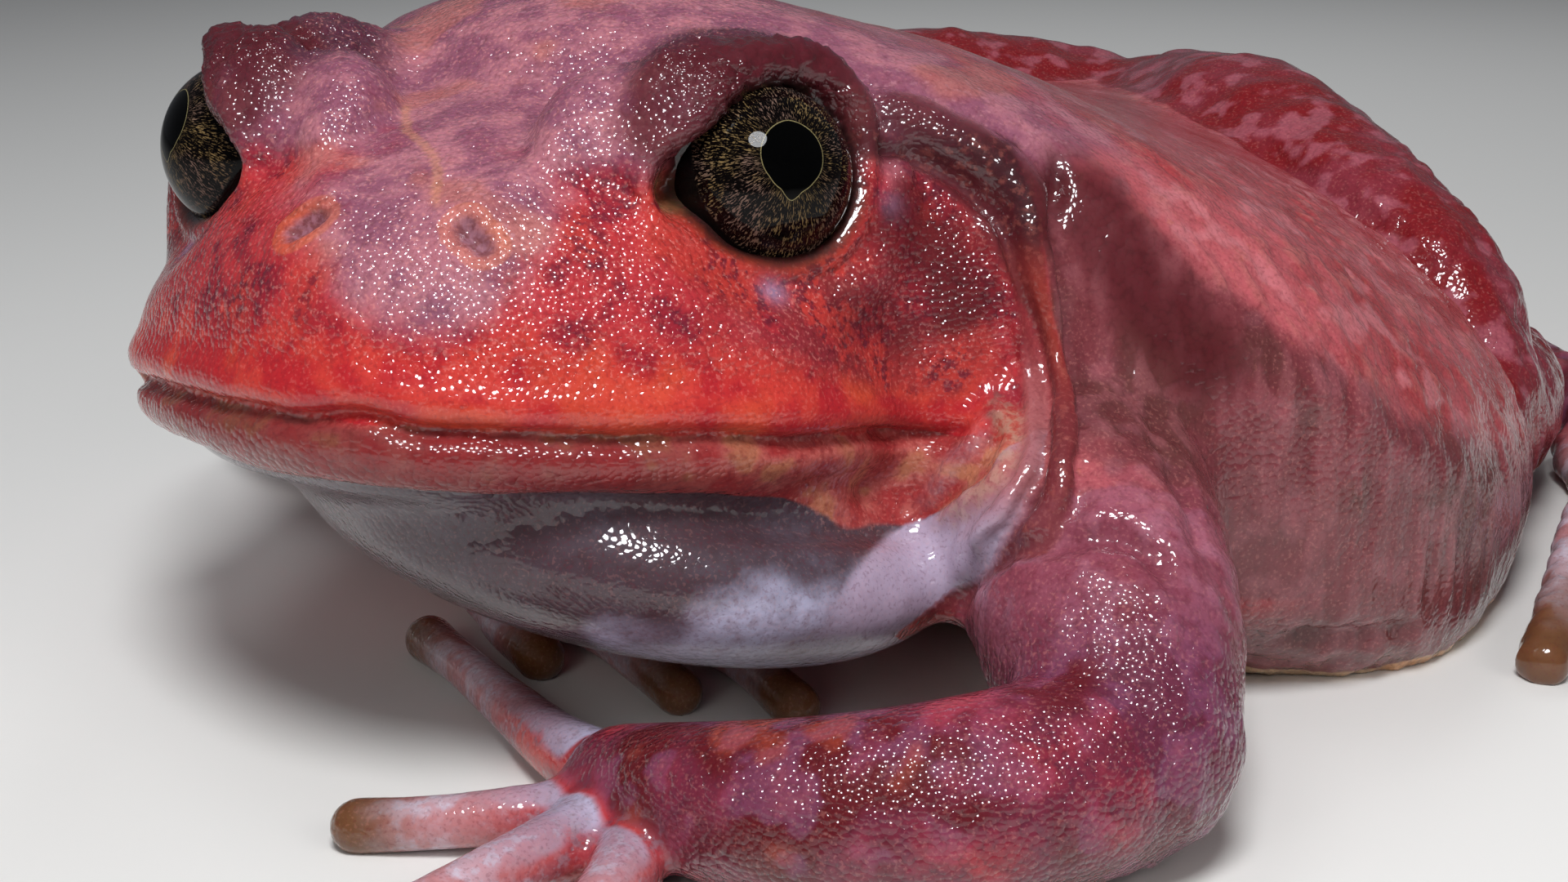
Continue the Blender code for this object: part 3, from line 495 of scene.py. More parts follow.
def add_head(clay):
    rings = []
    for back, half, top, low, square in through(HEAD_ROWS, 72):
        ring = []
        for angle in RING_ANGLES:
            x, z = squarish(angle, half, top, low, square, JAW_ROUND)
            ring.append(on_head(x, back, z))
        rings.append(ring)
    add_rings(clay, rings)
    throat_turn = (-HEAD_LIFT, THROAT_ROLL, HEAD_TURN)
    add_ball(clay, on_head(*THROAT_CENTRE), THROAT_SIZE, turn=throat_turn)
    x, y, z = ORBIT_CENTRE
    for side in BOTH:
        add_ball(clay, on_head(side * x, y, z), ORBIT_SIZE, turn=(0, 0, HEAD_TURN))


def add_trunk(clay):
    rings = []
    for along, half, top, low, widest, middle, square in through(TRUNK_ROWS, 90):
        ring = []
        for angle in RING_ANGLES:
            x, z = squarish(angle, half, top - widest, widest - low, square, BELLY_ROUND)
            if z < 0:
                share = min(max(-x / TUCK_WIDTH, 0.0), 1.0)
                share *= min(max((TUCK_BACK - along) / (TUCK_BACK - TUCK_FRONT), 0.0), 1.0)
                z *= 1.0 - share * TUCK / (widest - low)
            ring.append(Vector((middle + x, along, widest + z)))
        rings.append(ring)
    add_rings(clay, rings)


def add_lids(clay, side):
    for lid in (UPPER_LID, LOWER_LID, BROW):
        rows = []
        for forward, upward, outward, size in lid:
            if side < 0 and upward > 0.5:
                outward += RIGHT_LID_DROOP
                upward -= RIGHT_LID_DROOP
                if forward < -1.0:
                    outward -= 2 * RIGHT_LID_DROOP
            rows.append((*at_eye(side, forward, upward, outward), size))
        add_limb(clay, rows, count=64, sides=16)
    for fill in (ORBIT_REAR, ORBIT_FRONT):
        rows = [(*at_eye(side, *row[:3]), row[3]) for row in fill]
        add_limb(clay, rows, count=40, sides=20)
    add_ball(clay, at_eye(side, *CORNER_FILL), (CORNER_FILL_SIZE,) * 3, detail=24)
    x, y, z = LID_CORE
    add_ball(clay, on_head(side * x, y, z), (LID_CORE_SIZE,) * 3)


def add_roll(clay, under, route, size, height):
    """A round roll of skin that lies along the route and sinks in at both of its ends."""
    count = 12 * len(route)
    ranks = [under.tree.find(point)[1] for point in through(route, count)]
    seat = ease(under.points[ranks])
    lean = ease(under.normals[ranks])
    lean /= np.linalg.norm(lean, axis=1)[:, None]
    t = np.linspace(0.0, 1.0, count)
    ends = step(0.0, 0.16, np.minimum(t, 1 - t))
    centre = seat + lean * ((height + ROLL_SINK) * ends - ROLL_SINK - size)[:, None]
    add_limb(clay, [(*row, size) for row in centre], count=count, sides=20)


def link(name, data):
    made = bpy.data.objects.new(name, data)
    bpy.context.scene.collection.objects.link(made)
    return made


def clay_object(name, clay):
    bmesh.ops.recalc_face_normals(clay, faces=clay.faces)
    bmesh.ops.scale(clay, vec=(MM, MM, MM), verts=clay.verts)
    mesh = bpy.data.meshes.new(name)
    clay.to_mesh(mesh)
    clay.free()
    return link(name, mesh)


def settle(thing):
    """Applies the object's modifiers."""
    graph = bpy.context.evaluated_depsgraph_get()
    mesh = bpy.data.meshes.new_from_object(thing.evaluated_get(graph))
    thing.modifiers.clear()
    old = thing.data
    thing.data = mesh
    bpy.data.meshes.remove(old)


def remesh(thing, voxel):
    modifier = thing.modifiers.new("Remesh", "REMESH")
    modifier.mode = "VOXEL"
    modifier.voxel_size = voxel * MM
    settle(thing)


def points_of(mesh):
    points = np.empty(len(mesh.vertices) * 3)
    mesh.vertices.foreach_get("co", points)
    return points.reshape(-1, 3) / MM


def move_points(mesh, points):
    mesh.vertices.foreach_set("co", (points * MM).reshape(-1))
    mesh.update()


def normals_of(mesh):
    normals = np.empty(len(mesh.vertices) * 3, np.float32)
    mesh.vertex_normals.foreach_get("vector", normals)
    return normals.reshape(-1, 3).astype(float)


def relax(mesh, passes, pulls, share=1.0):
    """Draws each point towards the mean of its neighbours, by each pull in turn."""
    points = points_of(mesh)
    edges = np.empty(len(mesh.edges) * 2, np.int32)
    mesh.edges.foreach_get("vertices", edges)
    count = np.bincount(edges, minlength=len(points))[:, None]
    a, b = edges.reshape(-1, 2).T
    for pull in pulls * passes:
        total = np.zeros_like(points)
        for axis in range(3):
            total[:, axis] += np.bincount(a, points[b, axis], len(points))
            total[:, axis] += np.bincount(b, points[a, axis], len(points))
        points += share * pull * (total / count - points)
    move_points(mesh, points)


def dish_orbits(mesh):
    """Presses the skin in front of each eye back to a shallow dish round the eyeball."""
    points = points_of(mesh)
    rim = math.sqrt(EYE_RADIUS**2 - DISH_DEPTH**2)
    for side in BOTH:
        _, _, height, reach, _ = from_eye(points, side)
        limit = DISH_DEPTH + DISH_SLOPE * np.maximum(reach - rim, 0.0)
        near = (reach < DISH_REACH) & (height > limit) & (height < EYE_RADIUS + 4.0)
        fade = np.clip((DISH_REACH - reach) / 1.5, 0.0, 1.0)
        press = np.where(near, (height - limit) * fade, 0.0)
        points -= press[:, None] * np.array(eye_axes(side)[2])
    move_points(mesh, points)


def close_round(mesh):
    """Rounds the skin into the lids and the roots of the limbs, and closes it on the eyeballs."""
    points = points_of(mesh)
    share = np.zeros(len(points))
    for side in BOTH:
        *_, reach, ball = from_eye(points, side)
        around = step(4.5, 5.2, ball) * fall(7.5, 9.5, ball) * (reach > 3.0)
        share = np.maximum(share, around)
    for rank, reach, limbs in (
        (0, 3.2, LEFT_FINGERS[1:2]),
        (0, 3.0, RIGHT_FINGERS[1:2]),
        (0, 4.6, (LEFT_FOREARM, RIGHT_FOREARM)),
        (1, 6.5, (LEFT_ARM, RIGHT_ARM)),
        (0, 5.2, both(LEFT_SHANK)),
        (3, 3.4, both(LEFT_SHANK, LEFT_FOOT)),
    ):
        for rows in limbs:
            gap = np.linalg.norm(points - np.array(rows[rank][:3]), axis=1)
            share = np.maximum(share, fall(reach * 0.8, reach * 1.25, gap))
    _, inner, outer, rear = neck_lines(in_head(points))
    share *= 1 - rear * step(-2.2, -1.2, inner) * fall(0.2, 1.2, outer)
    relax(mesh, 26, FILL_IN, share[:, None])

    points = points_of(mesh)
    for side in BOTH:
        forward, upward, outward, _, ball = from_eye(points, side)
        corner = np.exp(-(((forward - 3.9) / 1.1) ** 2) - ((upward + 0.7) / 1.1) ** 2)
        corner *= (ball < 6.5) * step(-0.6, 0.4, outward)
        points -= np.array(eye_axes(side)[2]) * (CORNER_DEPTH * corner)[:, None]
    for side in BOTH:
        _, _, outward, _, ball = from_eye(points, side)
        depth = ball - (EYE_RADIUS - LID_OVERLAP)
        near = (depth > 0.0) & (depth < 1.0) & (outward > 0.2)
        goal = EYE_RADIUS - LID_OVERLAP + step(0.0, 1.0, depth) ** 1.5
        arm = points - np.array(eye_centre(side))
        points += np.where(near, (goal - ball) / ball, 0.0)[:, None] * arm
    move_points(mesh, points)


def build_skin():
    clay = bmesh.new()
    add_head(clay)
    add_trunk(clay)
    for rows in (*both(LEFT_THIGH), LEFT_ARM, RIGHT_ARM):
        add_limb(clay, rows)
    core = clay_object("core", clay)
    remesh(core, CORE_VOXEL)
    relax(core.data, 18, EVEN_OUT)
    dish_orbits(core.data)
    modifier = core.modifiers.new("Finer", "SUBSURF")
    modifier.levels = modifier.render_levels = 1
    settle(core)
    under = Surface(core.data, every=1)
    clay = bmesh.new()
    clay.from_mesh(core.data)
    bmesh.ops.scale(clay, vec=(1 / MM,) * 3, verts=clay.verts)
    bpy.data.objects.remove(core)
    for rows in (LEFT_FOREARM, RIGHT_FOREARM, *both(LEFT_SHANK, LEFT_FOOT)):
        add_limb(clay, rows)
    for side in BOTH:
        add_lids(clay, side)
        add_roll(clay, under, placed(FOLD_RIDGE, side=side), *WIDE_ROLL)
        add_roll(clay, under, placed(BAND_ROLL, side=side), *NARROW_ROLL)
    for rows in digits():
        add_limb(clay, rows, sides=20)
    skin = clay_object("frog_skin", clay)
    remesh(skin, SKIN_VOXEL)
    relax(skin.data, 8, EVEN_OUT)
    close_round(skin.data)
    return skin


# ---------------------------------------------------------------- noise and masks


def chance(cell, seed):
    """An even random number from 0 to 1 for each whole-numbered cell."""
    n = cell[:, 0] * 73856093 ^ cell[:, 1] * 19349663 ^ cell[:, 2] * 83492791 ^ seed * 2654435761
    n = (n ^ (n >> 13)) * 1274126177 & 0x7FFFFFFF
    n = (n ^ (n >> 16)) * 668265263 & 0x7FFFFFFF
    return ((n ^ (n >> 15)) & 0xFFFFF) / 0xFFFFF


def noise(points, size, seed):
    """Smooth noise from 0 to 1 with features of that size."""
    spot = points / size
    cell = np.floor(spot).astype(np.int64)
    t = spot - cell
    t = t * t * (3 - 2 * t)
    total = np.zeros(len(points))
    for corner in range(8):
        offset = np.array([corner & 1, corner >> 1 & 1, corner >> 2 & 1])
        weight = np.prod(np.where(offset, t, 1 - t), axis=1)
        total += weight * chance(cell + offset, seed)
    return total


def layered(points, size, seed, layers=3):
    total = sum(noise(points, size / 2**i, seed + i) / 2**i for i in range(layers))
    return total / (2 - 2.0 ** (1 - layers))


def grains(points, size, seed):
    """Round grains: 1 at the middle of each, 0 where they meet."""
    spot = points / size
    cell = np.floor(spot).astype(np.int64)
    near = np.full(len(points), 9.0)
    for i in range(27):
        other = cell + np.array([i % 3 - 1, i // 3 % 3 - 1, i // 9 - 1])
        seat = np.stack([chance(other, seed + k) for k in range(3)], axis=1)
        near = np.minimum(near, ((other + 0.15 + 0.7 * seat - spot) ** 2).sum(axis=1))
    return np.clip(1.0 - np.sqrt(near) / 0.75, 0.0, 1.0)


def pleats(points):
    """Noise drawn out from top to bottom, like the wrinkles of a wet flank."""
    return layered(points * (1.0, 1.0, 0.16) + np.array((0, 0, 9.0)), 0.7, 17, 2)


def dot(points, place, size, stretch=1.0):
    """A soft round mark, 1 at its place."""
    gap = np.linalg.norm((points - np.array(place)) * stretch, axis=1)
    return np.exp(-((gap / size) ** 2))


def nearest(points, run, reach):
    """How far each point lies outside a run of x, y, z and radius, and where along it, 0 to 1."""
    reach = run[:, 3].max() + reach
    low = run[:, :3].min(axis=0) - reach
    high = run[:, :3].max(axis=0) + reach
    close = np.nonzero(((points > low) & (points < high)).all(axis=1))[0]
    spot = points[close]
    gap = np.full(len(close), np.inf)
    far = np.zeros(len(close))
    for i in range(len(run) - 1):
        span = run[i + 1, :3] - run[i, :3]
        arm = spot - run[i, :3]
        t = np.clip(arm @ span / max(span @ span, 1e-9), 0.0, 1.0)
        size = run[i, 3] + t * (run[i + 1, 3] - run[i, 3])
        outside = np.linalg.norm(arm - t[:, None] * span, axis=1) - size
        nearer = outside < gap
        gap[nearer] = outside[nearer]
        far[nearer] = (i + t[nearer]) / (len(run) - 1)
    best = np.full(len(points), np.inf)
    where = np.zeros(len(points))
    best[close] = gap
    where[close] = far
    return best, where


class Surface:
    """The skin's points with what paints and shapes them."""

    def __init__(self, mesh, every=2):
        self.mesh = mesh
        self.points = points_of(mesh)
        self.normals = normals_of(mesh)
        self.lift = np.zeros(len(self.points))
        self.head = in_head(self.points)
        self.tree = KDTree(len(self.points))
        for i in range(0, len(self.points), every):
            self.tree.insert(self.points[i], i)
        self.tree.balance()

    def band(self, route, width, fade=0.15):
        """A soft band on the skin along the route, 1 on the line itself."""
        seats = [self.tree.find(point)[0] for point in through(route, max(10 * len(route), 24))]
        run = ease(np.array(seats))
        gap, where = nearest(self.points, np.c_[run, np.zeros(len(run))], 3.2 * width)
        ends = np.clip(np.minimum(where, 1.0 - where) / max(fade, 1e-6), 0.0, 1.0)
        return np.exp(-((gap / width) ** 2)) * (ends if fade else 1.0)

    def strongest(self, width, fade, *routes):
        return np.maximum.reduce([self.band(route, width, fade) for route in routes])

    def draw(self, width, height, fade, *routes):
        for route in routes:
            self.lift += height * self.band(route, width, fade)

    def press(self):
        """Moves the surface by what has been drawn so far."""
        self.points += self.normals * self.lift[:, None]
        move_points(self.mesh, self.points)
        self.lift[:] = 0.0
        self.normals = normals_of(self.mesh)

    def limb(self, rows, extra):
        """Where the skin belongs to a limb, and how far down the limb from 0 to 1."""
        gap, where = nearest(self.points, through(rows, 24), extra + 0.6)
        return step(-0.6, 0.5, extra - gap), where

    def limbs(self, extra, *limbs):
        return np.maximum.reduce([self.limb(rows, extra)[0] for rows in limbs])

    def paint(self, name, *values):
        """Stores up to four masks as one colour of the mesh."""
        layer = self.mesh.color_attributes.new(name, "FLOAT_COLOR", "POINT")
        data = np.zeros((len(self.points), 4), np.float32)
        for i, value in enumerate(values):
            data[:, i] = value
        layer.data.foreach_set("color", data.reshape(-1))


def shape_skin(s):
    """Lips, nostrils, folds, creases and warts, in the surface itself."""
    mouth = full_width(MOUTH)
    jaw = full_width(JAW_EDGE)
    s.draw(0.75, 0.32, 0.08, placed(mouth, 1.0))
    s.draw(0.7, 0.22, 0.08, placed(mouth, -1.1))
    s.draw(0.8, 0.2, 0.1, placed(jaw, 0.9))
    s.draw(0.8, -0.6, 0.1, placed(jaw))
    s.draw(0.45, 0.35, 0.15, *pair(CORNER_BAND))
    s.draw(0.5, 0.4, 0.15, *pair(CORNER_LUMPS))
    s.draw(1.0, 0.3, 0.15, *pair(SNOUT_RIDGE))
    s.draw(1.0, 0.35, 0.0, *pair(NOSTRIL))
    s.draw(0.6, -0.6, 0.15, SHOULDER_CREASE)
    s.draw(0.6, -0.4, 0.15, FLANK_FOLD)
    s.draw(0.6, -0.5, 0.15, BELLY_CREASE)
    s.draw(0.8, -0.9, 0.15, *both(LEG_GROOVE))
    s.draw(1.6, 0.3, 0.15, *both(SIDE_RIDGE))
    s.press()

    s.draw(0.28, -0.75, 0.05, placed(mouth))
    s.draw(0.35, -0.4, 0.15, SHOULDER_CREASE)
    s.draw(0.32, -0.55, 0.03, *pair(INNER_GROOVE))
    s.draw(0.38, -0.6, 0.1, *pair(OUTER_GROOVE))
    s.draw(0.46, -1.15, 0.0, *pair(NOSTRIL))
    s.press()

    _, back, up = s.head.T
    body = step(14.0, 22.0, back)
    crown = fall(16, 21, back) * step(5.0, 8.0, up)
    s.lift += (layered(s.points, 5.0, 11) - 0.5) * 0.5 * body
    s.lift += (layered(s.points, 2.2, 14, 2) - 0.5) * 0.6 * s.limbs(0.6, *both(LEFT_THIGH))
    lumps = np.zeros(len(s.points))
    for side, end in ((1, 5.2), (-1, 5.8)):
        gap = np.linalg.norm(s.points - np.array(at_eye(side, 0.6, 4.4, 0.2)), axis=1)
        lumps = np.maximum(lumps, fall(3.4, end, gap))
    s.lift += grains(s.points, 0.6, 5) * 0.24 * lumps
    s.lift += grains(s.points, 0.42, 3) * 0.07 * np.maximum(crown, 0.12 * body)
    reach = step(17, 24, np.abs(s.points[:, 0])) * fall(19, 24, s.points[:, 2])
    reach = np.maximum(reach * body, s.limb(LEFT_ARM, 0.6)[0])
    s.lift += (pleats(s.points) - 0.5) * 0.36 * reach
    s.press()

    s.points[:, 2] = np.maximum(s.points[:, 2], 0.0)
    move_points(s.mesh, s.points)
    return lumps


def paint_skin(s, lumps):
    """Masks for the skin's zones, which its material mixes with its own noise."""
    x, y, z = s.points.T
    back, up = s.head[:, 1], s.head[:, 2]
    folded = s.head * (np.sign(s.head[:, :1]) * (1, 0, 0) + (0, 1, 1))
    side = folded[:, 0]
    cheek, inner, outer, rear = neck_lines(s.head)
    past_cheek = rear * step(-0.2, 0.2, cheek)
    past_inner = step(-0.15, 0.15, inner)
    past_outer = step(-0.15, 0.15, outer)
    on_front = fall(15.5, 18.5, back) * (1 - past_cheek)
    edge_band = past_cheek * (1 - past_inner) * fall(8.5, 9.8, up)
    roll = rear * past_inner * (1 - past_outer) * fall(9.5, 11.5, up)
    drop = np.clip((9.0 - up) / 15.0, 0.0, 1.0)
    across = np.clip(inner / np.maximum(inner - outer, 0.5), 0.0, 1.0)
    over = up - read_off(np.array(MOUTH)[1:, 1:], back)
    under = up - read_off(JAW_MARGIN, side)

    taper = read_off(LIP_TAPER, back)
    lip = on_front * step(-0.2, 0.1, over) * fall(18.8, 20.2, side)
    lip *= fall(1.4 * taper, 5.2 * taper, over)
    lower = on_front * fall(-0.15, 0.1, over) * step(-0.7, 0.1, under)
    blaze = np.exp(-(((s.head[:, 0] - 2.4) / 3.6) ** 2)) * fall(2.4, 6.5, back)
    canthus = read_off(CANTHUS, back) - 3.1 * blaze
    crown = fall(15, 31, back) * step(-1.4, 1.6, up - canthus)
    limb = s.limbs(0.3, LEFT_ARM, RIGHT_ARM, LEFT_FOREARM, RIGHT_FOREARM)
    limb *= 1 - rear * fall(-0.3, 0.1, inner)
    throat = fall(-0.5, 0.1, under) * fall(-0.2, 0.2, inner)
    throat *= fall(14, 20, back) * (1 - limb) * fall(-2.0, 0.5, 1.5 - z)
    # Painted shadow of the jaw on the throat: darkest just under the jaw, fading lower down along a
    # slanting, uneven edge.
    uneven = 3.0 * (layered(s.points, 4.0, 23) - 0.5)
    jaw_shadow = fall(4.5, 9.5, 0.5 * (side - 6.0) - under + uneven)

    # Painted shade in the neck's creases, along the cheek's edge and in the shoulder crease.
    crease_shade = np.maximum(
        s.strongest(0.3, 0.1, *pair(INNER_GROOVE)), s.strongest(0.36, 0.1, *pair(OUTER_GROOVE))
    )
    crease_shade = np.maximum(crease_shade, 0.4 * s.strongest(0.3, 0.15, *pair(CHEEK_EDGE)))
    crease_shade = np.maximum(crease_shade, s.band(SHOULDER_CREASE, 0.45))
    cream = 0.8 * s.strongest(0.8, 0.2, *pair(CORNER_LUMPS))
    # A pale band at the corner of the mouth: a painted highlight, where the skin is also smoother.
    sheen = s.strongest(0.34, 0.3, *pair(CORNER_BAND))
    nose = s.strongest(1.0, 0.0, *pair(NOSTRIL))
    pit = step(0.72, 0.9, nose)
    # Partly the skin's own dark colour, partly painted shade: the front of the lower lip and the
    # patches of the table.
    dark_skin_and_shade = 0.55 * lower * fall(3.0, 10.0, back)
    for route, strength, width, fade in DARK_SKIN_AND_SHADE:
        dark_skin_and_shade = np.maximum(dark_skin_and_shade, strength * s.strongest(width, fade, *pair(route)))
    rim = bronze = spot = corner = np.zeros(len(s.points))
    for turn in BOTH:
        _, upward, _, _, ball = from_eye(s.points, turn)
        depth = ball - EYE_RADIUS
        # Painted shade under each upper lid, over the lid's own dark margin: the skin close above
        # the eyeball is darker.
        dark_skin_and_shade = np.maximum(dark_skin_and_shade, fall(1.2, 2.6, depth) * step(-0.4, 1.0, upward))
        rim = np.maximum(rim, fall(0.1, 0.6, depth))
        low_rim = fall(-1.2, 0.4, upward) * fall(0.3, 1.0, depth)
        bronze = np.maximum(bronze, low_rim)
        corner = np.maximum(corner, dot(s.points, at_eye(turn, *EYE_CORNER), 0.6))
        for place in LID_SPOTS:
            spot = np.maximum(spot, dot(s.points, at_eye(turn, *place), 0.55))
    wet = 0.65 * on_front * step(-0.2, 0.2, over) * fall(1.2, 2.8, over)
    folds = 0.75 * np.maximum(roll, edge_band)
    smooth = np.maximum.reduce([folds, wet, 0.8 * throat, 0.6 * cream, sheen, rim, bronze])
    smooth = np.maximum.reduce([smooth, 0.8 * pit, 0.45 * lower])

    digit = down = arm = elbow = np.zeros(len(s.points))
    for rows in digits():
        mask, where = s.limb(rows, 0.5)
        down = np.where(mask > digit, where, down)
        digit = np.maximum(digit, mask)
    for rows in (LEFT_ARM, RIGHT_ARM):
        mask, where = s.limb(rows, 0.4)
        arm = np.maximum(arm, mask * step(0.35, 0.85, where))
        elbow = np.maximum(elbow, mask * step(0.7, 1.0, where))
    fore = np.maximum(elbow, s.limbs(0.4, LEFT_FOREARM, RIGHT_FOREARM, *both(LEFT_FOOT)))
    leg = s.limbs(0.6, *both(LEFT_THIGH, LEFT_SHANK))

    behind = np.maximum(step(19, 25, back), rear * past_outer)
    # The flank below the crest is darker than the back: partly its own colour, partly painted shade
    # of the side turned from the light.
    flank = step(-6, 0, y) * fall(34, 42, y) * step(14, 19, np.abs(x)) * behind
    flank *= fall(-2.5, 2.0, z - read_off(CREST, y))
    belly = fall(0.0, 0.9, z + layered(s.points, 3.0, 31) - 0.5)
    belly *= 1 - np.clip(digit + arm + fore, 0, 1)
    stipple = dot(folded, (15.8, 10.5, 3.4), 4.6, stretch=(0.8, 0.8, 1.4))
    stipple = np.maximum(stipple, dot(folded, (17.5, 15.0, 9.5), 2.6))

    s.paint("zone_head", lip, crown, throat, lower)
    s.paint("zone_eye", rim, corner, spot, s.band(placed(MID_LINE), 0.26))
    s.paint("zone_nose", pit, step(0.15, 0.6, nose), bronze, jaw_shadow)
    s.paint("zone_limb", digit, down, np.maximum(arm, fore * 0.6), leg)
    s.paint("zone_fold", roll, crease_shade, cream, lumps)
    seam = s.band(placed(full_width(MOUTH)), 0.2, fade=0.04)
    s.paint("zone_line", seam, sheen, np.maximum(smooth, 0.7 * digit), fore)
    s.paint("zone_body", flank, belly, dark_skin_and_shade, behind)
    s.paint("zone_neck", edge_band, drop, across)
    broad, patchy = layered(s.points, 3.2, 51), layered(s.points, 1.2, 61)
    s.paint("tint", broad, patchy, stipple, pleats(s.points))


# ---------------------------------------------------------------- materials


def tone(red, green, blue):
    """A screen colour from 0 to 255 as light."""
    parts = [value / 255 for value in (red, green, blue)]
    light = [v / 12.92 if v <= 0.04045 else ((v + 0.055) / 1.055) ** 2.4 for v in parts]
    return (*light, 1.0)


class Shader:
    """Short ways to lay out one material's nodes."""

    def __init__(self, name):
        self.material = bpy.data.materials.new(name)
        self.material.use_nodes = True
        self.tree = self.material.node_tree
        self.body = self.tree.nodes["Principled BSDF"]
        self.place = self.vector("MULTIPLY", self.node("TexCoord").outputs["Object"], (1 / MM,) * 3)

    def node(self, kind, **values):
        return self.feed(self.tree.nodes.new("ShaderNode" + kind), **values)

    def join(self, value, socket):
        if isinstance(value, bpy.types.NodeSocket):
            self.tree.links.new(value, socket)
        else:
            socket.default_value = value

    def fill(self, values, sockets):
        for value, socket in zip(values, sockets):
            self.join(value, socket)

    def feed(self, node, **values):
        for name, value in values.items():
            self.join(value, node.inputs[name.replace("_", " ")])
        return node

    def math(self, operation, *values, clamp=False):
        node = self.node("Math")
        node.operation = operation
        node.use_clamp = clamp
        self.fill(values, node.inputs)
        return node.outputs[0]

    def times(self, a, b):
        return self.math("MULTIPLY", a, b)

    def vector(self, operation, *values):
        node = self.node("VectorMath")
        node.operation = operation
        self.fill(values, node.inputs)
        return node.outputs[0]

    def masks(self, name):
        node = self.node("Attribute")
        node.attribute_name = name
        parts = self.node("SeparateColor", Color=node.outputs["Color"])
        return (*parts.outputs[:3], node.outputs["Alpha"])

    def noise(self, size, detail, rough, seed, vector=None):
        seat = self.vector("ADD", vector or self.place, (seed * 7.3, seed * 3.1, seed * 5.7))
        node = self.node("TexNoise", Vector=seat, Scale=1 / size, Detail=detail, Roughness=rough)
        return node.outputs["Fac"]

    def cells(self, size):
        return self.node("TexVoronoi", Vector=self.place, Scale=1 / size).outputs["Distance"]

    def ramp(self, value, low, high, out_low=0.0, out_high=1.0):
        node = self.node("MapRange")
        node.interpolation_type = "SMOOTHSTEP"
        self.fill((value, low, high, out_low, out_high), node.inputs)
        return node.outputs[0]

    def mix(self, amount, a, b, blend="MIX"):
        """One colour over another. A colour may be a socket, or screen values from 0 to 255."""
        node = self.node("Mix")
        node.data_type = "RGBA"
        node.blend_type = blend
        node.clamp_factor = True
        colours = [tone(*item) if isinstance(item, tuple) else item for item in (a, b)]
        self.fill((amount, *colours), (node.inputs[0], *node.inputs[6:8]))
        return node.outputs[2]

    def mottle(self, colour, *patches):
        """Patches over a colour: each where its noise is high, by amount."""
        for value, low, high, amount, tint in patches:
            colour = self.mix(self.ramp(value, low, high, 0.0, amount), colour, tint)
        return colour

    def coats(self, colour, *coats):
        """Coats over a colour: each where its mask is, and by its amount if it has one."""
        for mask, tint, *amount in coats:
            colour = self.mix(self.times(mask, *amount) if amount else mask, colour, tint)
        return colour

    def broken(self, mask, value, amount=0.7, low=0.35, high=0.65):
        """The mask with its edge broken up by the noise."""
        shifted = self.math("MULTIPLY_ADD", mask, 1.0, -0.5 * amount)
        return self.ramp(self.math("MULTIPLY_ADD", value, amount, shifted), low, high)

    def bump(self, height, distance, strength):
        node = self.node("Bump", Height=height, Distance=distance * MM, Strength=strength)
        return node.outputs[0]

    def finish(self, **values):
        self.feed(self.body, **values)
        return self.material


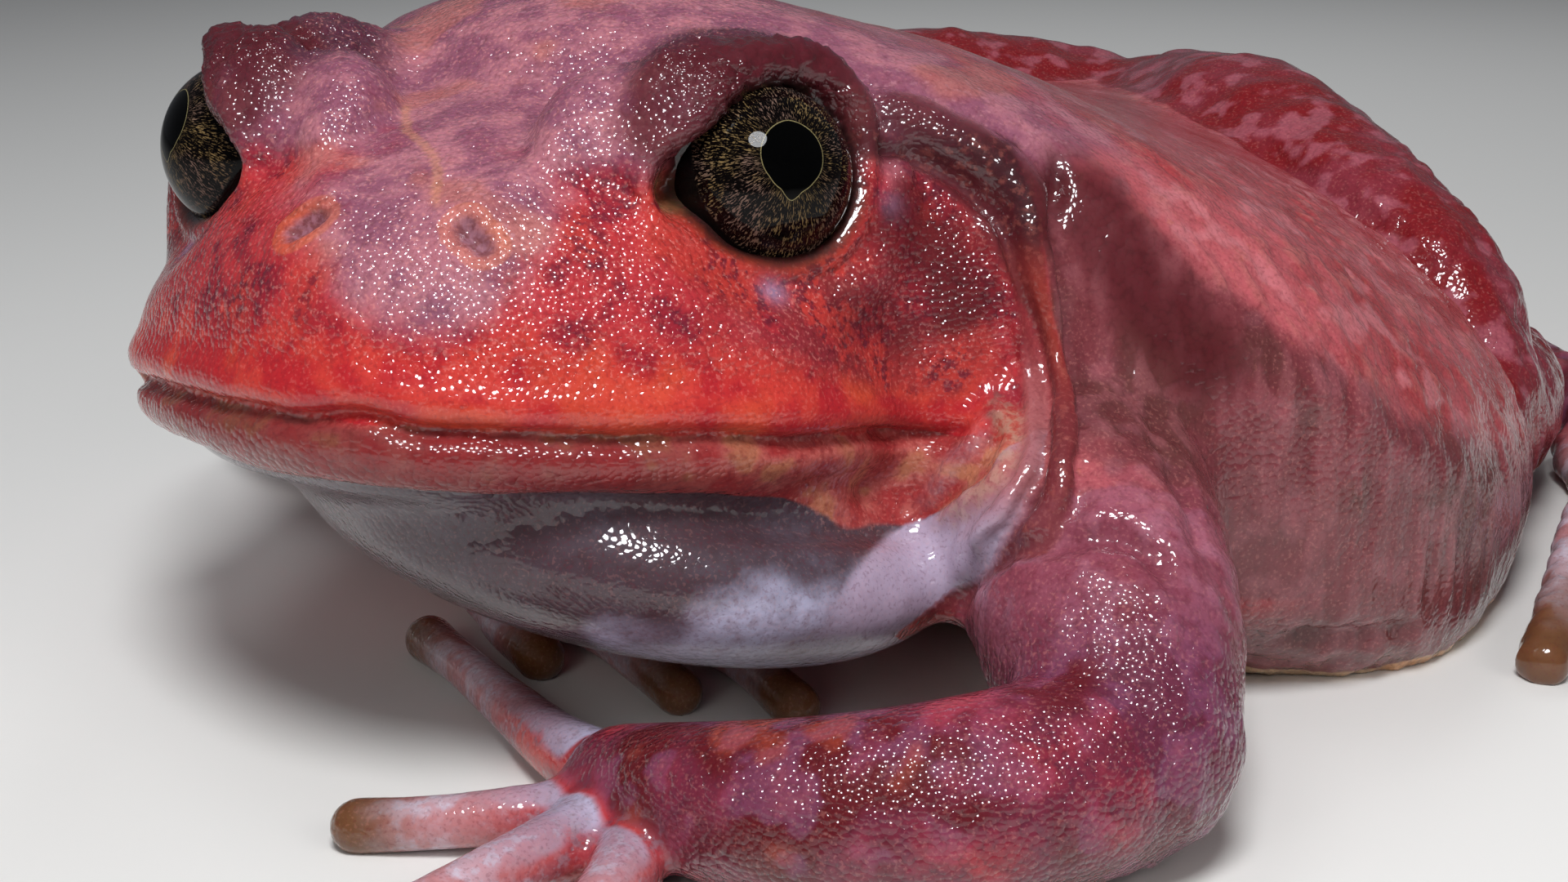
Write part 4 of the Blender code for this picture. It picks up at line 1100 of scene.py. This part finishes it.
def skin_material():
    m = Shader("frog_skin")
    lip, crown, throat, lower = m.masks("zone_head")
    rim, corner, spot, mid_line = m.masks("zone_eye")
    pit, ochre, bronze, jaw_shadow = m.masks("zone_nose")
    digit, down, arm, leg = m.masks("zone_limb")
    roll, crease_shade, cream, lump = m.masks("zone_fold")
    seam, sheen, smooth, fore = m.masks("zone_line")
    flank, belly, dark_skin_and_shade, behind = m.masks("zone_body")
    edge_band, drop, across, _ = m.masks("zone_neck")
    broad, patchy, stipple, pleat = m.masks("tint")
    fine = m.noise(0.42, 3.0, 0.6, 3)
    speck = m.noise(0.15, 1.0, 0.5, 4)
    grain = m.cells(0.27)

    trunk = m.mottle(
        (178, 86, 92),
        (broad, 0.35, 0.65, 1.0, (160, 60, 64)),
        (patchy, 0.5, 0.7, 0.8, (194, 114, 120)),
        (pleat, 0.55, 0.75, 0.5, (184, 106, 102)),
        (fine, 0.6, 0.74, 0.35, (204, 116, 92)),
    )
    face = m.mottle(
        (140, 28, 42),
        (patchy, 0.38, 0.62, 1.0, (176, 46, 52)),
        (broad, 0.5, 0.68, 0.6, (192, 62, 48)),
    )
    dark = m.times(m.ramp(fine, 0.48, 0.6), m.ramp(patchy, 0.56, 0.4))
    dusk = m.ramp(m.math("ADD", fine, patchy), 0.84, 1.08)
    dusk = m.math("MULTIPLY", stipple, dusk, clamp=True)
    face = m.coats(face, (dark, (106, 26, 44), 0.8), (dusk, (84, 24, 40), 0.8))
    # The flank's colour: partly its own, partly painted shade of the side turned from the light.
    olive = m.mottle(
        (98, 42, 48),
        (broad, 0.4, 0.62, 1.0, (78, 48, 46)),
        (patchy, 0.54, 0.7, 0.5, (124, 64, 72)),
        (pleat, 0.5, 0.7, 0.4, (142, 82, 90)),
        (pleat, 0.48, 0.3, 0.35, (66, 30, 34)),
    )
    crimson = m.mottle(
        (122, 20, 26),
        (broad, 0.4, 0.62, 1.0, (128, 42, 54)),
        (patchy, 0.5, 0.66, 0.55, (172, 96, 110)),
    )
    rosy = m.mottle(
        (134, 64, 80),
        (patchy, 0.4, 0.62, 1.0, (148, 80, 96)),
        (pleat, 0.5, 0.7, 0.5, (158, 100, 118)),
    )
    redder = m.mottle(
        (98, 38, 60),
        (broad, 0.4, 0.6, 1.0, (88, 13, 21)),
        (patchy, 0.5, 0.64, 0.65, (118, 62, 92)),
        (broad, 0.64, 0.72, 0.4, (168, 70, 46)),
    )
    mauve = m.mottle(
        (132, 76, 96),
        (patchy, 0.4, 0.65, 1.0, (164, 102, 114)),
        (broad, 0.56, 0.7, 0.55, (174, 102, 88)),
        (fine, 0.56, 0.7, 0.45, (184, 130, 140)),
    )
    orange = m.mottle(
        (172, 32, 38),
        (patchy, 0.4, 0.6, 1.0, (190, 54, 46)),
        (broad, 0.54, 0.72, 0.45, (206, 84, 46)),
    )
    lower_lip = m.mottle(
        (148, 46, 46),
        (patchy, 0.4, 0.6, 1.0, (170, 82, 76)),
        (patchy, 0.56, 0.7, 0.6, (182, 122, 84)),
        (fine, 0.5, 0.66, 0.4, (128, 30, 30)),
    )
    white = m.mottle(
        (176, 174, 200),
        (broad, 0.35, 0.7, 1.0, (150, 138, 158)),
        (fine, 0.45, 0.7, 0.4, (126, 100, 108)),
    )
    # Painted shadow of the jaw over the top of the throat.
    white = m.mix(m.times(m.broken(jaw_shadow, patchy, 0.5, 0.2, 0.8), 0.9), white, (48, 22, 22))
    wide_fold = m.mottle(
        (52, 17, 23),
        (drop, 0.12, 0.3, 1.0, (132, 46, 37)),
        (drop, 0.42, 0.6, 1.0, (106, 40, 43)),
        (drop, 0.62, 0.85, 1.0, (122, 54, 60)),
        # Painted shade: the roll is darker next to its inner crease, as on its shaded side.
        (across, 0.75, 0.15, 0.7, (84, 34, 40)),
        (fine, 0.5, 0.7, 0.3, (176, 96, 84)),
    )
    thin_fold = m.mottle(
        (88, 32, 38),
        (drop, 0.1, 0.3, 1.0, (138, 54, 58)),
        (drop, 0.4, 0.62, 1.0, (158, 90, 92)),
        (drop, 0.72, 0.92, 1.0, (172, 154, 176)),
    )
    pale = m.mottle((172, 84, 62), (fine, 0.4, 0.6, 1.0, (190, 142, 118)))
    ivory = m.mottle((214, 182, 144), (broad, 0.4, 0.6, 1.0, (196, 146, 104)))
    inside = m.mottle((136, 92, 106), (fine, 0.4, 0.6, 1.0, (104, 58, 66)))
    # Digits are rosy, then bluish white, with brown tips.
    finger = m.mottle(
        (172, 82, 88),
        (down, 0.2, 0.65, 1.0, (190, 160, 170)),
        (fine, 0.46, 0.62, 0.55, (200, 196, 212)),
        (patchy, 0.46, 0.6, 0.6, (176, 86, 80)),
        (m.math("MULTIPLY_ADD", patchy, 0.12, down), 0.72, 1.06, 1.0, (104, 66, 38)),
    )
    colour = m.coats(
        m.mix(behind, face, trunk),
        (m.broken(flank, patchy, 0.6, 0.2, 0.85), olive, 0.85),
        (m.broken(leg, broad, 0.5), crimson),
        (m.broken(arm, broad, 0.5), m.mix(fore, rosy, redder)),
        (m.broken(crown, patchy, 0.9, 0.1, 0.9), mauve),
        (lump, (70, 30, 46), 0.9),
        (m.broken(mid_line, fine, 0.9, 0.3, 0.9), (190, 130, 92), 0.45),
        (m.broken(lip, patchy, 0.7, 0.1, 0.9), orange),
        (m.broken(lower, fine, 0.3), lower_lip),
        (m.broken(throat, patchy, 0.5), white),
        # Dark patches: partly the skin's own colour, partly painted shade.
        (m.broken(dark_skin_and_shade, patchy, 0.5, 0.1, 0.9), (76, 16, 22), 0.85),
        (roll, wide_fold, 0.92),
        (edge_band, thin_fold, 0.92),
        # Painted shade in the creases.
        (crease_shade, (58, 10, 16), 0.9),
        (m.broken(cream, fine, 0.5, 0.1, 0.9), pale, 0.7),
        # Painted highlight at the corner of the mouth.
        (sheen, (190, 176, 190), m.ramp(fine, 0.35, 0.65, 0.25, 0.7)),
        (seam, (84, 14, 16), 0.85),
        (m.broken(belly, patchy, 0.6), ivory),
        (digit, finger, m.ramp(down, 0.0, 0.7)),
        (m.broken(ochre, fine, 0.6), (206, 112, 66), 0.35),
        (pit, inside, 0.9),
        (spot, (150, 142, 176), 0.7),
        (bronze, (98, 46, 26), 0.75),
        (rim, (26, 12, 12), 0.95),
        (corner, (172, 150, 92), 0.85),
    )
    # Small scale: grains stand lighter than the skin between them.
    rough = m.math("SUBTRACT", 1.0, m.times(smooth, 0.92), clamp=True)
    between = m.times(m.ramp(grain, 0.3, 0.8), m.times(rough, m.ramp(fine, 0.4, 0.6)))
    colour = m.mix(m.times(between, 0.25), colour, (120, 40, 56), "MULTIPLY")
    plain = m.math("MULTIPLY_ADD", fore, 0.5, m.math("MULTIPLY_ADD", behind, 0.5, dark_skin_and_shade))
    plain = m.math("SUBTRACT", rough, plain, clamp=True)
    pale_speck = m.times(m.ramp(speck, 0.56, 0.7, 0.0, 0.25), plain)
    dark_speck = m.ramp(speck, 0.44, 0.3, 0.0, 0.25)
    colour = m.coats(colour, (pale_speck, (228, 150, 140)), (dark_speck, (96, 20, 36)))

    coarse = m.cells(0.56)
    coarse = m.math("SUBTRACT", 1.0, m.times(coarse, coarse))
    coarse = m.times(coarse, m.math("MULTIPLY_ADD", lump, 2.4, m.times(crown, 0.5)))
    height = m.math("SUBTRACT", coarse, m.times(grain, grain))
    film = m.times(rough, m.math("MULTIPLY_ADD", behind, -0.65, 1.0))
    return m.finish(
        Base_Color=colour,
        Normal=m.bump(height, 0.04, film),
        Coat_Normal=m.bump(height, 0.105, film),
        Roughness=0.5,
        Subsurface_Weight=0.08,
        Subsurface_Radius=(1.0, 0.35, 0.25),
        Subsurface_Scale=0.6 * MM,
        Coat_Weight=1.0,
        Coat_Roughness=0.06,
        Coat_IOR=1.5,
        Specular_IOR_Level=0.12,
        Metallic=0.0,
    )


def eye_material():
    """A dark iris with fine golden streaks, and a thin golden line round the pupil."""
    m = Shader("frog_eye")
    reach, angle_x, angle_y, _ = m.masks("iris")
    place = m.node("CombineXYZ", Z=m.times(reach, 22.0))
    for angle, socket in zip((angle_x, angle_y), place.inputs):
        m.join(m.math("MULTIPLY_ADD", angle, IRIS_STREAKS, -0.5 * IRIS_STREAKS), socket)
    streak = m.noise(1.0, 3.0, 0.62, 2, vector=place.outputs[0])
    wisps = m.noise(0.5, 2.0, 0.5, 3)
    light = m.ramp(m.math("MULTIPLY_ADD", wisps, 0.2, streak), 0.63, 0.7)
    gold = m.mottle((104, 82, 72), (m.noise(1.6, 2.0, 0.5, 5), 0.4, 0.6, 1.0, (112, 92, 60)))
    inner = m.math("SUBTRACT", 1.0, m.ramp(reach, 0.335, 0.40))
    colour = m.coats((7, 4, 4), (light, gold), (inner, (10, 8, 6), 0.5))
    line = m.math("ABSOLUTE", m.math("SUBTRACT", reach, 0.333))
    line = m.math("SUBTRACT", 1.0, m.ramp(line, 0.002, 0.006))
    outside = m.ramp(reach, 0.93, 0.97)
    colour = m.mix(m.ramp(reach, 0.325, 0.333), (2, 2, 2), colour)
    colour = m.coats(colour, (line, (132, 122, 84), 0.9), (outside, (9, 7, 7)))
    return m.finish(
        Base_Color=colour,
        Normal=m.bump(light, 0.03, m.math("SUBTRACT", 1.0, outside)),
        Roughness=0.35,
        Coat_Weight=1.0,
        Coat_Roughness=0.015,
        Coat_IOR=1.22,
        Specular_IOR_Level=0.0,
        Metallic=0.0,
    )


# ---------------------------------------------------------------- pieces


def add_eye(side, name, shift):
    """One eyeball: rings round the middle of the pupil, which follow the pupil's own outline."""
    out = np.array(bearing(PUPIL_TURN, PUPIL_RISE, side))
    front = np.array(bearing(PUPIL_TURN - 90.0, 0.0, side))
    rise = np.cross(front, out) * side
    centre = np.array(eye_centre(side))
    angles = np.linspace(0, 2 * math.pi, 144, endpoint=False)
    edges = []
    for table in (PUPIL_EDGE, IRIS_EDGE):
        knots = [(a + turn, r) for turn in (-360, 0, 360) for a, r in table]
        edge = read_off(knots, np.degrees(angles))
        for _ in range(3):
            edge = (np.roll(edge, 1) + 2 * edge + np.roll(edge, -1)) / 4
        edges.append(edge)
    pupil, iris = edges
    rings = []
    facts = []

    def ring_at(spread, mark):
        spread = np.radians(spread)
        arm = np.cos(angles)[:, None] * front + np.sin(angles)[:, None] * rise
        arm = np.sin(spread)[:, None] * arm + np.cos(spread)[:, None] * out
        rings.append([Vector(centre + EYE_RADIUS * a) for a in arm])
        facts.extend((mark, 0.5 + 0.5 * math.cos(a), 0.5 + 0.5 * math.sin(a), 1.0) for a in angles)

    def past_pupil(mark):
        return pupil + (iris - pupil) * ((mark - PUPIL_MARK) / (IRIS_MARK - PUPIL_MARK))

    for mark in np.concatenate([np.linspace(*run) for run in RING_MARKS]):
        ring_at(pupil * mark / PUPIL_MARK if mark <= PUPIL_MARK else past_pupil(mark), mark)
    outer = past_pupil(0.97)
    for t in np.linspace(0.08, 0.985, 16):
        ring_at(outer + (180 - outer) * t, 1.0)
    clay = bmesh.new()
    add_rings(clay, rings)
    ball = clay_object(name, clay)
    layer = ball.data.color_attributes.new("iris", "FLOAT_COLOR", "POINT")
    layer.data.foreach_set("color", np.array(facts, np.float32).reshape(-1))
    move_points(ball.data, points_of(ball.data) - shift)
    return ball


def dress(piece, material, slot, *nodes):
    piece.data.materials.clear()
    piece.data.materials.append(material)
    piece.data.polygons.foreach_set("use_smooth", np.ones(len(piece.data.polygons), bool))
    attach(piece, "root")
    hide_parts(*nodes)


def build_frog():
    low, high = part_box("eye_left")
    shift = np.array(eye_centre(1)) - (np.array(low) + np.array(high)) / 2 / MM
    skin = build_skin()
    surface = Surface(skin.data)
    paint_skin(surface, shape_skin(surface))
    move_points(skin.data, surface.points - shift)
    flesh = [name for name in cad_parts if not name.startswith("eye")]
    dress(skin, skin_material(), "skin", *flesh)
    glossy = eye_material()
    for side, name in ((1, "eye_left"), (-1, "eye_right")):
        dress(add_eye(side, "ball_" + name, shift), glossy, "eye", name)
    return shift


def build_stage(shift):
    clay = bmesh.new()
    bmesh.ops.create_grid(clay, x_segments=1, y_segments=1, size=FLOOR_REACH)
    floor = clay_object("floor", clay)
    dull = Shader("floor").finish(Base_Color=tone(*FLOOR_COLOUR), Roughness=0.6)
    floor.data.materials.append(dull)

    world = bpy.data.worlds.new("studio")
    world.use_nodes = True
    world.node_tree.nodes["Background"].inputs[0].default_value = WORLD_COLOUR
    world.node_tree.nodes["Background"].inputs[1].default_value = WORLD_STRENGTH
    bpy.context.scene.world = world
    for name, place, target, size, power, colour in LIGHTS:
        light = bpy.data.lights.new(name, "AREA")
        light.shape = "DISK"
        light.size = size * MM
        light.energy = power
        light.color = colour
        thing = link(name, light)
        thing.visible_glossy = name == "key"
        spot = Vector(place) - Vector(shift)
        aim = (spot - (Vector(target) - Vector(shift))).to_track_quat("Z", "Y")
        thing.matrix_world = Matrix.Translation(spot * MM) @ aim.to_matrix().to_4x4()


def build_camera(shift):
    """The lens stands a hand's breadth before the frog's left eye, tilted down, rolled a little."""
    turn, rise, roll = (math.radians(v) for v in CAMERA_ANGLES)
    right = Vector((math.cos(turn), math.sin(turn), 0.0))
    flat = math.cos(rise)
    back = Vector((math.sin(turn) * flat, -math.cos(turn) * flat, math.sin(rise)))
    up = back.cross(right)
    c = math.cos(roll)
    s = math.sin(roll)
    right, up = right * c + up * s, up * c - right * s
    head = Matrix(head_axes()).transposed()
    right, up, back = (head @ axis for axis in (right, up, back))
    across, over, away = CAMERA_PLACE
    place = Vector(LIP_NOTCH) + back * away + right * across + up * over - Vector(shift)
    lens = bpy.data.cameras.new("camera")
    lens.sensor_width = 36.0
    lens.lens = CAMERA_LENS
    lens.clip_start = 0.002
    lens.clip_end = 20.0
    camera = link("camera", lens)
    frame_axes = Matrix((right, up, back)).transposed().to_4x4()
    camera.matrix_world = Matrix.Translation(place * MM) @ frame_axes
    bpy.context.scene.camera = camera


def main():
    shift = build_frog()
    build_stage(shift)
    build_camera(shift)
    bpy.context.scene.view_settings.view_transform = "Standard"


main()
